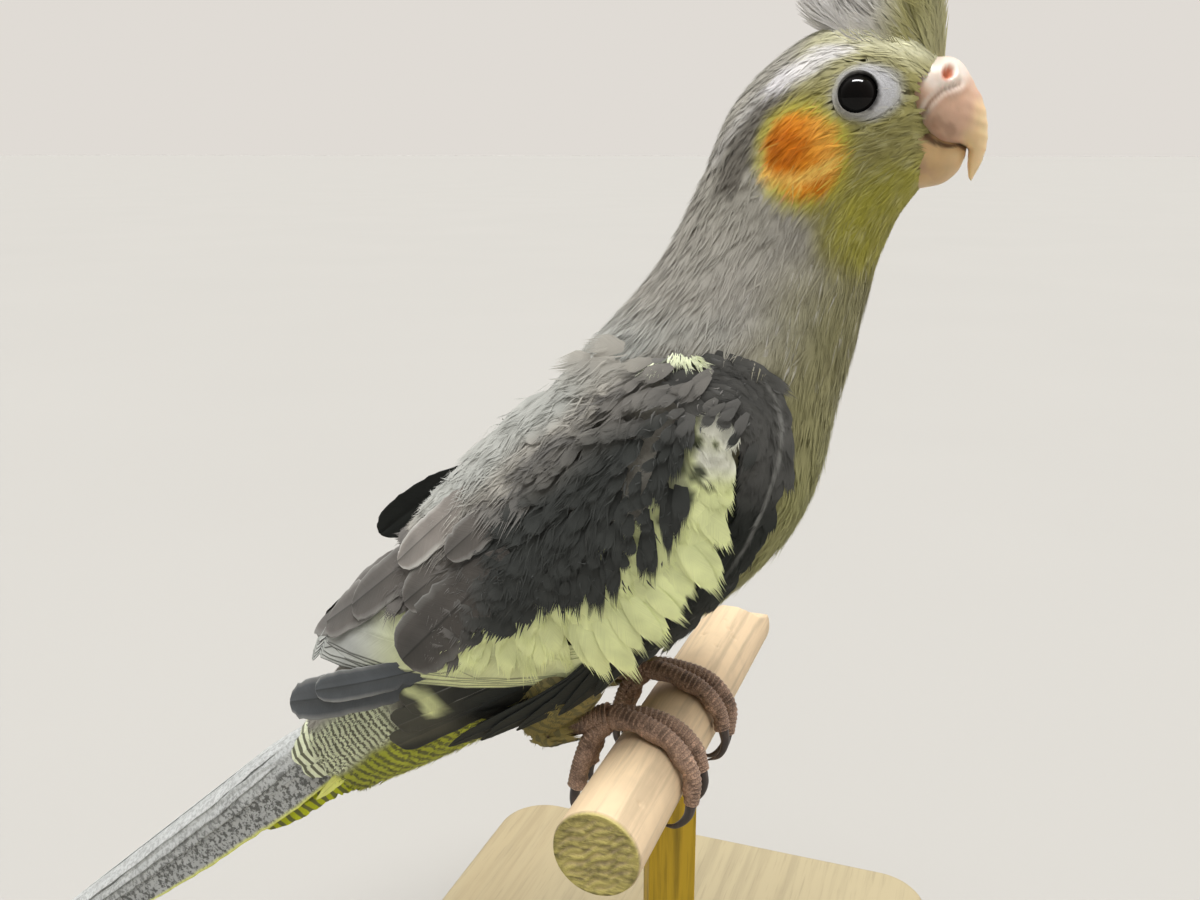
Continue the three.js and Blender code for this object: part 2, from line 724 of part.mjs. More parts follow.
const bodyRoom = body.solid(CHIN, VENT, 22, CLEAR);
addNode(bird, "tail", largest(tailSolid().subtract(bodyRoom)), 0x9a9a98);
const farHalf = toSolid(new THREE.BoxGeometry(400, 100, 400).translate(0, 50 - GAP, 0));
const wingRoom = join([bodyRoom, tailSolid(GAP), farHalf]);
const rightWing = largest(wingSolid({}).subtract(wingRoom));
const leftWing = mirrored(largest(wingSolid({ raised: [RAISED_FEATHER] }).subtract(wingRoom)));
const rightLeg = largest(legSolid().subtract(bodyRoom).subtract(wingSolid({ grow: CLEAR })));
const rightFoot = footSolid();
for (const [sideName, side] of [["right", 1], ["left", -1]]) {
  const turned = (solid) => (side > 0 ? solid : mirrored(solid));
  addNode(bird, `eye_${sideName}`, ball(EYE_RADIUS, eyeCentre(side)), 0x140c08, 0.1);
  addNode(bird, `wing_${sideName}`, side > 0 ? rightWing : leftWing, 0x57524e);
  addNode(bird, `leg_${sideName}`, turned(rightLeg), 0x8f8a5c);
  addNode(bird, `foot_${sideName}`, turned(rightFoot), 0x7b5e5a, 0.6);
  TOES.forEach(({ claw }, i) => {
    addNode(bird, `claw_${sideName}_${i + 1}`, turned(tube(claw, CLAW_RADII, 6)), 0x3d302c, 0.4);
  });
}

addNode(bird, "stand_perch", perchSolid(), 0xd9b88c, 0.7);
addNode(bird, "stand_post", postSolid(), 0xb98f4e, 0.7);
addNode(cockatiel, "stand_base", baseSolid(), 0xd6b083, 0.7);

export default cockatiel;
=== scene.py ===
import math

import bmesh
import bpy
import numpy as np
from bpy.props import FloatProperty, FloatVectorProperty, IntProperty, PointerProperty
from mathutils import Matrix, Vector


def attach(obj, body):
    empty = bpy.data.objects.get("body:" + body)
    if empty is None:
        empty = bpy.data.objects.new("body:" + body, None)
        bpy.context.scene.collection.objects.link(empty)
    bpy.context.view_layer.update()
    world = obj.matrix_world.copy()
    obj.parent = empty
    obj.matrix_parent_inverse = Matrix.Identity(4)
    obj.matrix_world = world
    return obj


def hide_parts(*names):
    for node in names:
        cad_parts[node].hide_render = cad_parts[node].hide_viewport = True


bl_info = {
    "name": "Cockatiel on a perch",
    "version": (1, 0, 0),
    "blender": (4, 5, 0),
    "location": "View3D > Sidebar > Cockatiel",
    "description": "Builds a life-size cockatiel with its plumage, bill, feet and wooden perch",
    "category": "Object",
}

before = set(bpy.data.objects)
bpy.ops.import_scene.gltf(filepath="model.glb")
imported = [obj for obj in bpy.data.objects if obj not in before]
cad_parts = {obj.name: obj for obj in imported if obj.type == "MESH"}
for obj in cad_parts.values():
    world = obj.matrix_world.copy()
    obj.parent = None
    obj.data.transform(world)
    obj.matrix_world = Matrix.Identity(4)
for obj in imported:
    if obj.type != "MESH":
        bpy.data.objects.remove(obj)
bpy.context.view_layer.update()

MM = 0.001
PERCH_HEIGHT = 104.0  # axis of the perch above the floor; places on the bird are given from it
SEED = 7


# Curves and forms, in millimetres from the perch's axis: the head to +X, the right side to -Y.

def smooth(value, low, high):
    share = np.clip((np.asarray(value, float) - low) / (high - low), 0, 1)
    return share * share * (3 - 2 * share)


def mix(first, second, share):
    return first + (second - first) * share


def spline(points, share):
    """Catmull-Rom through rows of points, at shares of the whole run."""
    points = np.asarray(points, float)
    last = len(points) - 1
    padded = np.vstack([2 * points[0] - points[1], points, 2 * points[-1] - points[-2]])
    run = np.clip(np.asarray(share, float), 0, 1) * last
    span = np.minimum(run.astype(int), last - 1)
    w = (run - span)[..., None]
    before, here, there, after = (padded[span + k] for k in range(4))
    leaving = (there - before) / 2
    arriving = (after - here) / 2
    rise = -3 * here + 3 * there - 2 * leaving - arriving
    turn = 2 * here - 2 * there + leaving + arriving
    return here + leaving * w + rise * w ** 2 + turn * w ** 3


class Loft:
    """A form through cross-sections, each with a back edge, a front edge and a half width.
    An angle of 0 is the back, half a turn the front, and a positive angle the right side."""

    def __init__(self, sections):
        self.rows = np.array([[*back, *front, half] for back, front, half in sections], float)

    def at(self, t, angle, grow=0.0):
        t, angle, grow = np.broadcast_arrays(*(np.asarray(v, float) for v in (t, angle, grow)))
        row = spline(self.rows, t)
        back, front, half = row[..., 0:2], row[..., 2:4], row[..., 4]
        middle = (back + front) / 2
        reach = back - middle
        length = np.linalg.norm(reach, axis=-1)
        depth = ((length + grow) * np.cos(angle) / length)[..., None]
        flat = middle + reach * depth
        return np.stack([flat[..., 0], -(half + grow) * np.sin(angle), flat[..., 1]], -1)

    def ways(self, t, angle):
        """Rates of travel with the station and with the angle, in millimetres."""
        step = 0.002
        t = np.clip(t, step, 1 - step)
        along = (self.at(t + step, angle) - self.at(t - step, angle)) / (2 * step)
        round_ = (self.at(t, angle + step) - self.at(t, angle - step)) / (2 * step)
        return along, round_

    def normal(self, t, angle):
        t, angle = np.broadcast_arrays(np.asarray(t, float), np.asarray(angle, float))
        along, round_ = self.ways(t, angle)
        return unit(np.cross(along, round_))

    def find(self, x, z):
        """The right side's station and angle of places seen from the side."""
        place = np.stack(np.broadcast_arrays(np.asarray(x, float), np.asarray(z, float)), -1)
        low, high = np.zeros(place.shape[:-1]), np.ones(place.shape[:-1])

        def past(t):
            row = spline(self.rows, t)
            across, off = row[..., 2:4] - row[..., 0:2], place - row[..., 0:2]
            return across[..., 1] * off[..., 0] - across[..., 0] * off[..., 1]

        sign = np.sign(past(low))
        for _ in range(24):
            half = (low + high) / 2
            same = np.sign(past(half)) == sign
            low, high = np.where(same, half, low), np.where(same, high, half)
        row = spline(self.rows, low)
        across = row[..., 2:4] - row[..., 0:2]
        share = np.sum((place - row[..., 0:2]) * across, -1) / np.sum(across ** 2, -1)
        return low, np.arccos(1 - 2 * np.clip(share, 0, 1))


def unit(vectors):
    return vectors / np.maximum(np.linalg.norm(vectors, axis=-1, keepdims=True), 1e-9)


BODY_SECTIONS = [
    ((46.2, 126.5), (44.6, 112.5), 5.6),
    ((43.2, 130.6), (41.8, 108.8), 9.6),
    ((36.0, 134.2), (39.0, 104.6), 12.4),
    ((24.0, 134.0), (36.9, 99.6), 13.9),
    ((11.6, 123.8), (35.7, 95.5), 14.5),
    ((5.0, 109.2), (34.7, 89.8), 15.6),
    ((-2.4, 95.3), (31.4, 74.2), 18.8),
    ((-15.0, 81.0), (24.9, 48.9), 21.6),
    ((-34.0, 59.4), (4.7, 26.4), 23.4),
    ((-51.0, 39.4), (-21.2, 7.4), 21.2),
    ((-66.0, 17.6), (-46.6, -10.0), 15.4),
    ((-82.0, -5.5), (-68.5, -23.5), 8.6),
]
STATIONS = len(BODY_SECTIONS) - 1
BODY = Loft(BODY_SECTIONS)
SKIN = Loft(BODY_SECTIONS + [((-88, -13.5), (-78, -28), 4.8), ((-94, -20), (-87, -31), 2.2)])
SHELL = Loft([
    ((5.0, 109.2), (34.7, 89.8), 15.6),
    ((-2.4, 95.3), (31.4, 74.2), 18.8),
    ((-15.0, 81.0), (24.9, 48.9), 21.6),
    ((-34.0, 59.4), (4.7, 26.4), 23.4),
    ((-51.5, 40.4), (-21.2, 7.4), 21.6),
    ((-69.5, 20.5), (-46.6, -10.0), 17.2),
    ((-88.0, -1.0), (-70.0, -26.0), 12.4),
    ((-106.0, -17.0), (-90.0, -42.0), 9.0),
])
SHELL_RADIUS = 26.0
UPPER_BILL = Loft([
    ((40.6, 129.2), (38.0, 119.4), 7.6),
    ((44.0, 129.8), (41.0, 118.3), 7.5),
    ((46.8, 129.0), (43.4, 116.7), 6.6),
    ((49.1, 126.2), (45.9, 115.9), 5.5),
    ((51.3, 122.3), (48.0, 116.1), 4.3),
    ((52.15, 117.6), (49.3, 115.4), 2.8),
    ((51.7, 114.0), (49.4, 113.3), 1.7),
    ((50.2, 110.6), (49.7, 111.2), 0.5),
])
LOWER_BILL = Loft([
    ((38.5, 121.4), (39.0, 108.8), 6.8),
    ((42.0, 120.4), (42.6, 109.4), 6.6),
    ((45.4, 118.0), (45.8, 110.2), 5.0),
    ((48.0, 116.6), (47.9, 112.0), 3.0),
    ((49.1, 116.2), (48.9, 114.2), 1.3),
])
EYE = (33.0, 123.8)
EYE_SUNK = 2.1
RING = (34.4, 124.0, 4.8, 3.95)  # bare skin round the eye: its middle and its half sizes
WING_OUTLINE = [
    (4, 85), (15, 84.5), (23.2, 80), (26, 72), (24, 59), (17, 44), (2, 31), (-20, 22), (-38, 30),
    (-42, 42), (-26, 62),
]
TAIL_ROOT = np.array([-76.0, 0.0, -2.0])
TAIL_SLOPE = math.radians(41)
TAIL_LENGTH = 136.0
TAIL_HALF = 7.0
TAIL_WAY = np.array([-math.cos(TAIL_SLOPE), 0, -math.sin(TAIL_SLOPE)])
TAIL_UP = np.array([-math.sin(TAIL_SLOPE), 0, math.cos(TAIL_SLOPE)])


def inside(outline, x, z):
    """Whether places lie in an outline seen from the side."""
    found = np.zeros(np.shape(x), bool)
    for (x0, z0), (x1, z1) in zip(outline, outline[1:] + outline[:1]):
        crosses = (z0 > z) != (z1 > z)
        with np.errstate(divide="ignore", invalid="ignore"):
            found ^= crosses & (x < (x1 - x0) * (z - z0) / (z1 - z0) + x0)
    return found


def far_from(line, x, z):
    """Distance of places from a line of points, seen from the side."""
    best = np.full(np.shape(x), 1e9)
    for (x0, z0), (x1, z1) in zip(line, line[1:]):
        run = np.array([x1 - x0, z1 - z0], float)
        share = np.clip(((x - x0) * run[0] + (z - z0) * run[1]) / (run @ run), 0, 1)
        best = np.minimum(best, np.hypot(x - x0 - share * run[0], z - z0 - share * run[1]))
    return best


# Colours

def shade(hue, factor):
    """A hue made darker or lighter."""
    return tuple(min(c * factor, 1) for c in hue)


def linear(colour):
    colour = np.asarray(colour, float)
    return np.where(colour <= 0.04045, colour / 12.92, ((colour + 0.055) / 1.055) ** 2.4)


class Paint:
    """Colours of a piece's places; a call lays one more hue over them, as strongly as its mask says."""

    def __init__(self, hue, count):
        self.colours = np.broadcast_to(linear(hue), (count, 3)).copy()

    def __call__(self, hue, mask):
        self.colours = mix(self.colours, linear(hue), np.asarray(mask)[..., None])


def wobble(places, size, seed=0.0):
    """A smooth field from -1 to 1 that varies over about the given size."""
    x, y, z = (places[..., k] / size for k in range(3))
    first = np.sin(1.7 * x + 2.1 * z + seed) * np.cos(1.3 * y - 0.9 * x + 1.7 * seed)
    second = np.sin(3.1 * z - 2.3 * x + 0.8 * y + 2.3 * seed) * np.cos(2.9 * x + 1.1 * z - seed)
    return 0.6 * first + 0.4 * second


FACE_OUTLINE = [
    (60, 134), (38, 140), (28, 138), (23.5, 131.5), (22, 126), (21.5, 120.5), (22.5, 108.5), (27, 103.5),
    (29.5, 96), (40, 92), (60, 96),
]
STRIPE = [(30.5, 130.8), (27.4, 129.9), (23.9, 128.0), (20.6, 126.2), (18.0, 124.4)]
STRIPE_END = [(16.6, 123.6), (14.8, 121.2), (12.0, 117.6), (9.4, 113.4)]
HIND_HEAD = [(20.4, 122.8), (17.4, 119.6), (15.0, 115.6), (12.8, 110.4)]
CHEEK_FOLD = [(19.4, 111.6), (21.6, 110.6), (24.4, 110.6), (27.4, 111.8), (30.2, 113.4)]


def within(outline, x, z, low, high):
    """How far into an outline seen from the side places lie, from 0 to 1."""
    edge = far_from(outline + outline[:1], x, z)
    return smooth(np.where(inside(outline, x, z), edge, -edge), low, high)


def body_colour(places):
    """Markings of the head and body, for skin and coat alike."""
    hues = bpy.context.scene.plumage
    x, z = places[..., 0], places[..., 2]
    side = np.abs(places[..., 1])
    uneven = 1.4 * wobble(places, 6.0)
    fine = wobble(places, 1.6, 1.0)
    paint = Paint(hues.mantle, len(places))
    back = smooth(over_back(x, z) + uneven, 0, 4) * (1 - smooth(z, 82, 92)) * smooth(x, -52, -42)
    paint(hues.secondary, 0.7 * back)
    # the breast is browner, and olive low down
    ahead = x + 0.42 * (78 - z) + uneven
    breast = smooth(ahead, 10, 30) * (1 - smooth(z, 92, 108))
    paint(hues.breast, breast)
    low = smooth(ahead + uneven, 22, 40) * (1 - smooth(z, 50, 84))
    paint(hues.belly, 0.75 * low)
    rump = smooth(-1.2 * x - 1.6 * z + uneven, -28, 8) * (1 - smooth(z + 1.15 * x, -34, -12))
    under = smooth(30 - z + 0.62 * x + uneven, 6, 22)
    paint(hues.undertail, under * 0.8 * (1 - rump))
    nape = smooth(z, 94, 110) * (1 - smooth(x, 18, 27))
    paint(hues.nape, 0.75 * nape)
    # the face, forehead and throat
    face = within(FACE_OUTLINE, x + 0.6 * uneven, z, -2.2, 2.4)
    paint(hues.face, face)
    paint(hues.forehead, smooth(z + 0.2 * x + uneven, 134, 140) * smooth(x, 21, 29))
    throat = within([(60, 115), (38, 113), (31, 108), (29.5, 100), (34, 96), (60, 98)], x, z + uneven, -3, 3)
    paint(hues.throat, 0.8 * throat)
    paint(hues.forehead, 0.25 * smooth(fine, -0.1, 0.8) * face)
    # painted light: a paler band along the top of the face, where light from above falls
    painted_top_light = within([(44, 131), (30, 133), (22, 131), (24, 127), (34, 129)], x, z + uneven, -2, 2)
    paint(hues.forehead, 0.42 * painted_top_light)
    # grey and white behind the eye
    on_side = smooth(side, 3.5, 6.5)
    grey = 1 - smooth(far_from(HIND_HEAD, x, z) + 0.7 * fine, 1.4, 3.6)
    paint(hues.hind_head, 0.9 * grey * on_side)
    width = np.interp(x, [17, 20, 25, 31], [0.4, 1.4, 1.9, 0.9])
    white = 1 - smooth(far_from(STRIPE, x, z) + 0.6 * fine, 0.5 * width, 1.6 * width)
    paint(hues.stripe, 0.8 * white * on_side)
    thin = 1 - smooth(far_from(STRIPE_END, x, z) + 0.5 * fine, 0.3, 1.8)
    paint(hues.stripe, 0.2 * thin * on_side)
    # the cheek: yellow rim, orange middle and a paler fold low in it
    on_side = smooth(side, 6, 9)
    cheek = np.hypot((x - 25.1) / 6.6, (z - 114.7 + 0.1 * (x - 25)) / 7.2) + 0.06 * fine
    paint(hues.cheek_rim, 0.85 * (1 - smooth(cheek, 0.95, 1.35)) * on_side)
    paint(hues.cheek, (1 - smooth(cheek + 0.05 * fine, 0.82, 1.02)) * on_side)
    deep = 1 - smooth(np.hypot((x - 22.6) / 3.9, (z - 115.6) / 4.2) + 0.12 * fine, 0.6, 1.15)
    paint(hues.cheek_deep, 0.85 * deep * on_side)
    warm = smooth(x + 0.3 * (z - 114), 26, 30) * (1 - smooth(cheek, 0.8, 1.0))
    paint(hues.cheek_fold, 0.45 * warm * on_side)
    lobe = 1 - smooth(np.hypot((x - 27.6) / 2.6, (z - 109.9) / 1.6) + 0.1 * fine, 0.6, 1.2)
    paint(hues.cheek_deep, 0.7 * lobe * on_side)
    fold = far_from(CHEEK_FOLD, x, z)
    paint(hues.cheek_fold, 0.95 * (1 - smooth(fold + 0.15 * fine, 0.5, 1.4)) * on_side)
    # bare skin round the eye
    paint(hues.eye_ring, 0.8 * (1 - smooth(from_ring(x, z) + 0.08 * fine, 0.9, 1.3)) * on_side)
    # barred feathers at the tail's root: cream on its sides, olive under it
    cream, olive = tail_marks(places)
    paint(hues.tail_covert, cream)
    paint(hues.undertail, 0.85 * olive)
    # small pale flecks on the neck and breast
    fleck = smooth(wobble(places, 1.1, 4.0), 0.55, 0.8)
    around = smooth(x - 0.2 * (z - 90), 12, 20) * smooth(z, 68, 78) * (1 - smooth(z, 93, 101))
    paint(hues.stripe, 0.45 * fleck * around)
    return paint.colours * (1 + 0.05 * wobble(places, 5, 2.0))[:, None]


def from_ring(x, z):
    """Distance of places from the middle of the eye ring, as a share of the ring's size."""
    return np.hypot((x - RING[0]) / RING[2], (z - RING[1]) / RING[3])


def over_back(x, z):
    """How far places seen from the side lie over the line where the back meets the wing."""
    line = np.interp(x, [-41.4, -29.8, -20, -9.9, 0.9, 5.4, 11], [43, 52.2, 62.2, 70.7, 79.6, 82.4, 83.5])
    return 0.75 * (z - line)


def along_tail(places):
    """How far places lie along the tail from its root."""
    return (places - TAIL_ROOT) @ TAIL_WAY


def tail_depth(places):
    """How far places lie below the tail's top line."""
    return -((places - TAIL_ROOT) @ TAIL_UP)


def tail_marks(places):
    """How far places are in the cream and the olive barred feathers round the tail's root."""
    along, down = along_tail(places), tail_depth(places)
    edge = 14.2 + 0.8 * wobble(places, 5.0, 3.0)
    cream = smooth(along, -27, -19) * smooth(down, 2, 5) * (1 - smooth(down, edge - 1, edge + 1))
    olive = smooth(along, -52, -38) * smooth(down, edge - 1, edge + 1.5)
    return cream, olive


# Meshes

def on_bird(places):
    return (np.asarray(places, float) + (0, 0, PERCH_HEIGHT)) * MM


def mark(mesh, colours, floats=None):
    """Stores the markings of a mesh's corners, and other values under their own names."""
    rgba = np.concatenate([np.clip(colours, 0, 1), np.ones((len(colours), 1))], 1)
    layers = [("markings", "FLOAT_COLOR", "color", rgba)]
    layers += [(name, "FLOAT", "value", values) for name, values in (floats or {}).items()]
    for name, kind, key, values in layers:
        flat = np.asarray(values, np.float32).reshape(-1)
        mesh.attributes.new(name, kind, "POINT").data.foreach_set(key, flat)


def finished(name, form, smooth_faces=True):
    """A new object from a mesh or from a bmesh."""
    mesh = to_mesh(name, form, smooth_faces) if isinstance(form, bmesh.types.BMesh) else form
    piece = bpy.data.objects.new(name, mesh)
    bpy.context.scene.collection.objects.link(piece)
    return piece


def dressed(name, form, finish, replaced=(), colour=None, smooth_faces=True):
    """A finished and settled piece, with markings from a function of its places."""
    piece = finished(name, form, smooth_faces)
    if colour is not None:
        mark(piece.data, colour(places_of(piece.data)))
    return settle(piece, finish, replaced)


def settle(piece, finish, replaced):
    """Gives a piece its material and its body, and hides the CAD nodes that it stands for."""
    piece.data.materials.clear()
    piece.data.materials.append(finish)
    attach(piece, "root")
    if replaced:
        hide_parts(*replaced)
    return piece


def sheet_of(columns, rows, place, caps=True):
    """A grid of faces laid out by a function of shares round and along, in millimetres on the bird.
    Its sides are joined up, and caps close its ends."""
    bm = bmesh.new()
    bmesh.ops.create_grid(bm, x_segments=columns, y_segments=rows, size=0.5)
    shares = np.array([v.co[:2] for v in bm.verts]) + 0.5
    places = place(shares[:, 0], shares[:, 1])
    for vert, spot in zip(bm.verts, on_bird(places)):
        vert.co = spot
    bmesh.ops.remove_doubles(bm, verts=bm.verts, dist=2e-6)
    if caps:
        bmesh.ops.holes_fill(bm, edges=[e for e in bm.edges if e.is_boundary])
        bmesh.ops.poke(bm, faces=[f for f in bm.faces if len(f.verts) > 4])
    bmesh.ops.recalc_face_normals(bm, faces=bm.faces)
    return bm


def to_mesh(name, bm, smooth_faces=True):
    for face in bm.faces:
        face.smooth = smooth_faces
    mesh = bpy.data.meshes.new(name)
    bm.to_mesh(mesh)
    bm.free()
    return mesh


def places_of(mesh):
    """A mesh's corners in millimetres on the bird."""
    flat = np.empty(len(mesh.vertices) * 3, np.float32)
    mesh.vertices.foreach_get("co", flat)
    return flat.reshape(-1, 3).astype(float) / MM - (0, 0, PERCH_HEIGHT)


# Feathers

BAKE_PATCH = 0.0015  # half size of a small feather's patch on the baking map
BARB_SHIFT = 400  # each feather starts at its own place in the pattern of barbs


def unwrap(t, angle):
    """A root's place on the flattened skin."""
    return np.stack([0.02 + 0.96 * (angle % (2 * math.pi)) / (2 * math.pi), 0.02 + 0.96 * t], -1)


def steered(form, t, angle, drift, length):
    """Rates in station and angle of feathers of a length that are turned from the form's own way."""
    along, round_ = form.ways(t, angle)
    return (
        np.cos(drift) * length / np.linalg.norm(along, axis=-1),
        np.sin(drift) * length / np.linalg.norm(round_, axis=-1),
    )


def aimed(form, x, z, tip_x, tip_z):
    """Stations, angles and rates of feathers that run between places seen from the side."""
    t, angle = form.find(x, z)
    tip_t, tip_angle = form.find(tip_x, tip_z)
    return t, angle, tip_t - t, tip_angle - angle


def blades(
    form, t, angle, rates, length, width, lift, rng, *, strips, ragged, rows=(0, 0.4, 0.75), curl=0.2
):
    """Small feathers that lie along a form, each a leaf that frays into narrow tips.
    Rates carry them over the form, and lift is how far they stand off it at root and tip."""
    count = len(t)
    t_rate, a_rate = (np.asarray(rate, float)[:, None] for rate in rates)
    columns = np.linspace(-1, 1, strips + 1)
    middles = (columns[1:] + columns[:-1]) / 2
    body = len(rows) * (strips + 1)
    fray = np.sqrt(1 - 0.8 * middles ** 2)
    # the last rows bend back towards the sides, as a leaf's end does
    bend = 0.28 * (1 - np.sqrt(1 - 0.98 * columns ** 2))
    stops = np.repeat(rows, strips + 1)
    bent = stops * (1 - np.tile(bend, len(rows)) * (stops / rows[-1]) ** 4)
    last_row = rows[-1] * (1 - (bend[1:] + bend[:-1]) / 2)
    own = 1 + ragged * (rng.random((count, strips)) - 0.6) * 2
    tip_s = last_row + (1.02 - rows[-1]) * (0.4 + 0.6 * fray) * own
    s = np.concatenate([np.broadcast_to(bent, (count, body)), tip_s], 1)
    splay = middles + 0.12 * (rng.random((count, strips)) - 0.5)
    c = np.concatenate([np.broadcast_to(np.tile(columns, len(rows)), (count, body)), splay], 1)
    opening = 0.36 + 0.64 * np.sin(np.clip(s / 0.55, 0, 1) * math.pi / 2)
    swell = np.where(s < 0.55, opening, 1 - 0.42 * smooth(s, 0.55, 1.15))
    bow = (rng.random((count, 1)) - 0.5) * curl
    here_t = t[:, None] + s * t_rate
    here_a = angle[:, None] + s * a_rate + bow * s ** 2 * width[:, None] / 14
    first, last = (np.broadcast_to(np.asarray(v, float), count)[:, None] for v in lift)
    stand = mix(first, last, s ** 0.8) + 0.2 * (rng.random((count, 1)) - 0.5) * s
    centre = form.at(here_t, here_a, stand)
    out = form.normal(here_t, here_a)
    outward = centre - form.at(here_t, here_a, stand - 1)
    out = np.where((np.sum(out * outward, -1) < 0)[..., None], -out, out)
    behind, ahead = (form.at(here_t + step * t_rate, here_a + step * a_rate) for step in (-0.02, 0.02))
    side = unit(np.cross(out, unit(ahead - behind)))
    reach = c * swell * width[:, None] / 2
    radius = np.maximum(spline(form.rows, np.clip(here_t, 0, 1))[..., 4], 4)
    corners = centre + side * reach[..., None] - out * (reach ** 2 / (2 * radius))[..., None]
    loose = rng.normal(0, 0.03, (count, strips)) * length[:, None]
    corners[:, body:] += out[:, body:] * loose[..., None]
    wide = strips + 1
    faces = []
    for r in range(len(rows) - 1):
        for k in range(strips):
            low = r * wide + k
            faces += [(low, low + wide, low + wide + 1), (low, low + wide + 1, low + 1)]
    low = (len(rows) - 1) * wide + np.arange(strips)
    faces += list(zip(low, body + np.arange(strips), low + 1))
    per = s.shape[1]
    faces = (np.array(faces)[None] + (np.arange(count) * per)[:, None, None]).reshape(-1, 3)
    run = s * length[:, None]
    barbs = np.stack([reach, run + rng.random((count, 1)) * BARB_SHIFT], -1)
    patch = unwrap(t, angle)[:, None, :] + BAKE_PATCH * np.stack([c, 2 * s - 1], -1)
    return {
        "corners": corners.reshape(-1, 3), "faces": faces, "barbs": barbs.reshape(-1, 2),
        "patch": patch.reshape(-1, 2), "share": s.reshape(-1), "across": c.reshape(-1),
        "feather": np.repeat(np.arange(count), per), "to_tip": (length[:, None] - run).reshape(-1),
    }


def wisps(form, t, angle, length, rng, lift):
    """Hair-fine loose barbs over the feathers, each a narrow curved ribbon."""
    count = len(t)
    rates = steered(form, t, angle, rng.normal(0, 0.2, count), length)
    stand = (lift[0] - rng.uniform(0, 0.2, count), lift[1] + rng.uniform(-0.3, 0.2, count))
    width = rng.uniform(0.22, 0.45, count)
    return blades(form, t, angle, rates, length, width, stand, rng, strips=1, rows=(0, 0.5), ragged=0.0, curl=6)


def gather(parts):
    """Several lots of feathers as one."""
    whole = {}
    offsets = np.cumsum([0] + [len(p["corners"]) for p in parts])
    counts = np.cumsum([0] + [p["feather"].max() + 1 for p in parts])
    for key in [key for key in parts[0] if all(key in p for p in parts)]:
        lots = [p[key] for p in parts]
        if key == "faces":
            lots = [lot + off for lot, off in zip(lots, offsets)]
        if key == "feather":
            lots = [lot + off for lot, off in zip(lots, counts)]
        whole[key] = np.concatenate(lots)
    return whole


def own_tones(lot, middle, spread, rng):
    """A random number for each feather, at all of its corners."""
    return rng.normal(middle, spread, int(lot["feather"].max()) + 1)[lot["feather"]]


def mirrored(lot, own_cells=False):
    """The same feathers on the other side, with their faces still out."""
    other = dict(lot)
    other["corners"] = lot["corners"] * (1, -1, 1)
    other["faces"] = lot["faces"][:, ::-1]
    if not own_cells:
        other["patch"] = lot["patch"] * (-1, 1) + (1, 0)
    return other


def coat_piece(
    name, lot, colours, finish, replaced=(), bars=0.0, mottle=0.0, pitch=1.6, run=None
):
    """A piece of plumage. Bars and mottle say how strongly its dark pattern shows, run where the bars fall."""
    mesh = bpy.data.meshes.new(name)
    mesh.from_pydata(on_bird(lot["corners"]), [], lot["faces"])
    loops = lot["faces"].reshape(-1)
    for layer, uv in (("OFBake", lot["patch"]), ("barbs", lot["barbs"])):
        mesh.uv_layers.new(name=layer).data.foreach_set("uv", uv[loops].astype(np.float32).reshape(-1))
    run = lot["to_tip"] if run is None else run
    flat = np.ones(len(colours))
    mark(mesh, colours, {"bars": bars * flat, "mottle": mottle * flat, "bar_run": run / pitch * 2 * math.pi})
    mesh.polygons.foreach_set("use_smooth", np.ones(len(lot["faces"]), bool))
    mesh.update()
    return settle(finished(name, mesh), finish, replaced)


def spots(form, t_range, spacing, rng, keep=None):
    """Roots spread evenly over a form, as its stations and angles."""
    fine = np.linspace(*t_range, 400)
    steps = np.linalg.norm(np.diff(form.at(fine, math.pi / 2), axis=0), axis=1)
    run = np.concatenate([[0], np.cumsum(steps / spacing(fine[1:]))])
    stations, angles = [], []
    for k in range(int(run[-1])):
        t = float(np.interp(k + 0.5, run, fine))
        turn = np.linspace(0, 2 * math.pi, 181)
        ring = form.at(t, turn)
        arc = np.concatenate([[0], np.cumsum(np.linalg.norm(np.diff(ring, axis=0), axis=1))])
        gap = float(spacing(np.array([t]))[0]) * 1.1
        count = max(int(arc[-1] / gap), 6)
        along = (np.arange(count) + 0.5 * (k % 2) + rng.uniform(-0.28, 0.28, count)) * arc[-1] / count
        angles.append(np.interp(along % arc[-1], arc, turn))
        density = float(np.interp(t, fine[1:], np.diff(run) / np.diff(fine)))
        stations.append(t + rng.uniform(-0.3, 0.3, count) / max(density, 1))
    t, angle = np.concatenate(stations), np.concatenate(angles)
    if keep is not None:
        chosen = keep(t, angle)
        t, angle = t[chosen], angle[chosen]
    return t, angle


def evenly(pitch):
    """A spacing that is the same all over a form."""
    return lambda t: np.full(np.shape(t), pitch)


# Node materials

def new_material(name, base, roughness, specular):
    """A material and its nodes, with the Principled shader set up."""
    material = bpy.data.materials.new(name)
    material.use_nodes = True
    nodes = Nodes(material.node_tree)
    nodes.fix(**{"Base Color": (*linear(base), 1), "Roughness": roughness, "Specular IOR Level": specular})
    return material, nodes


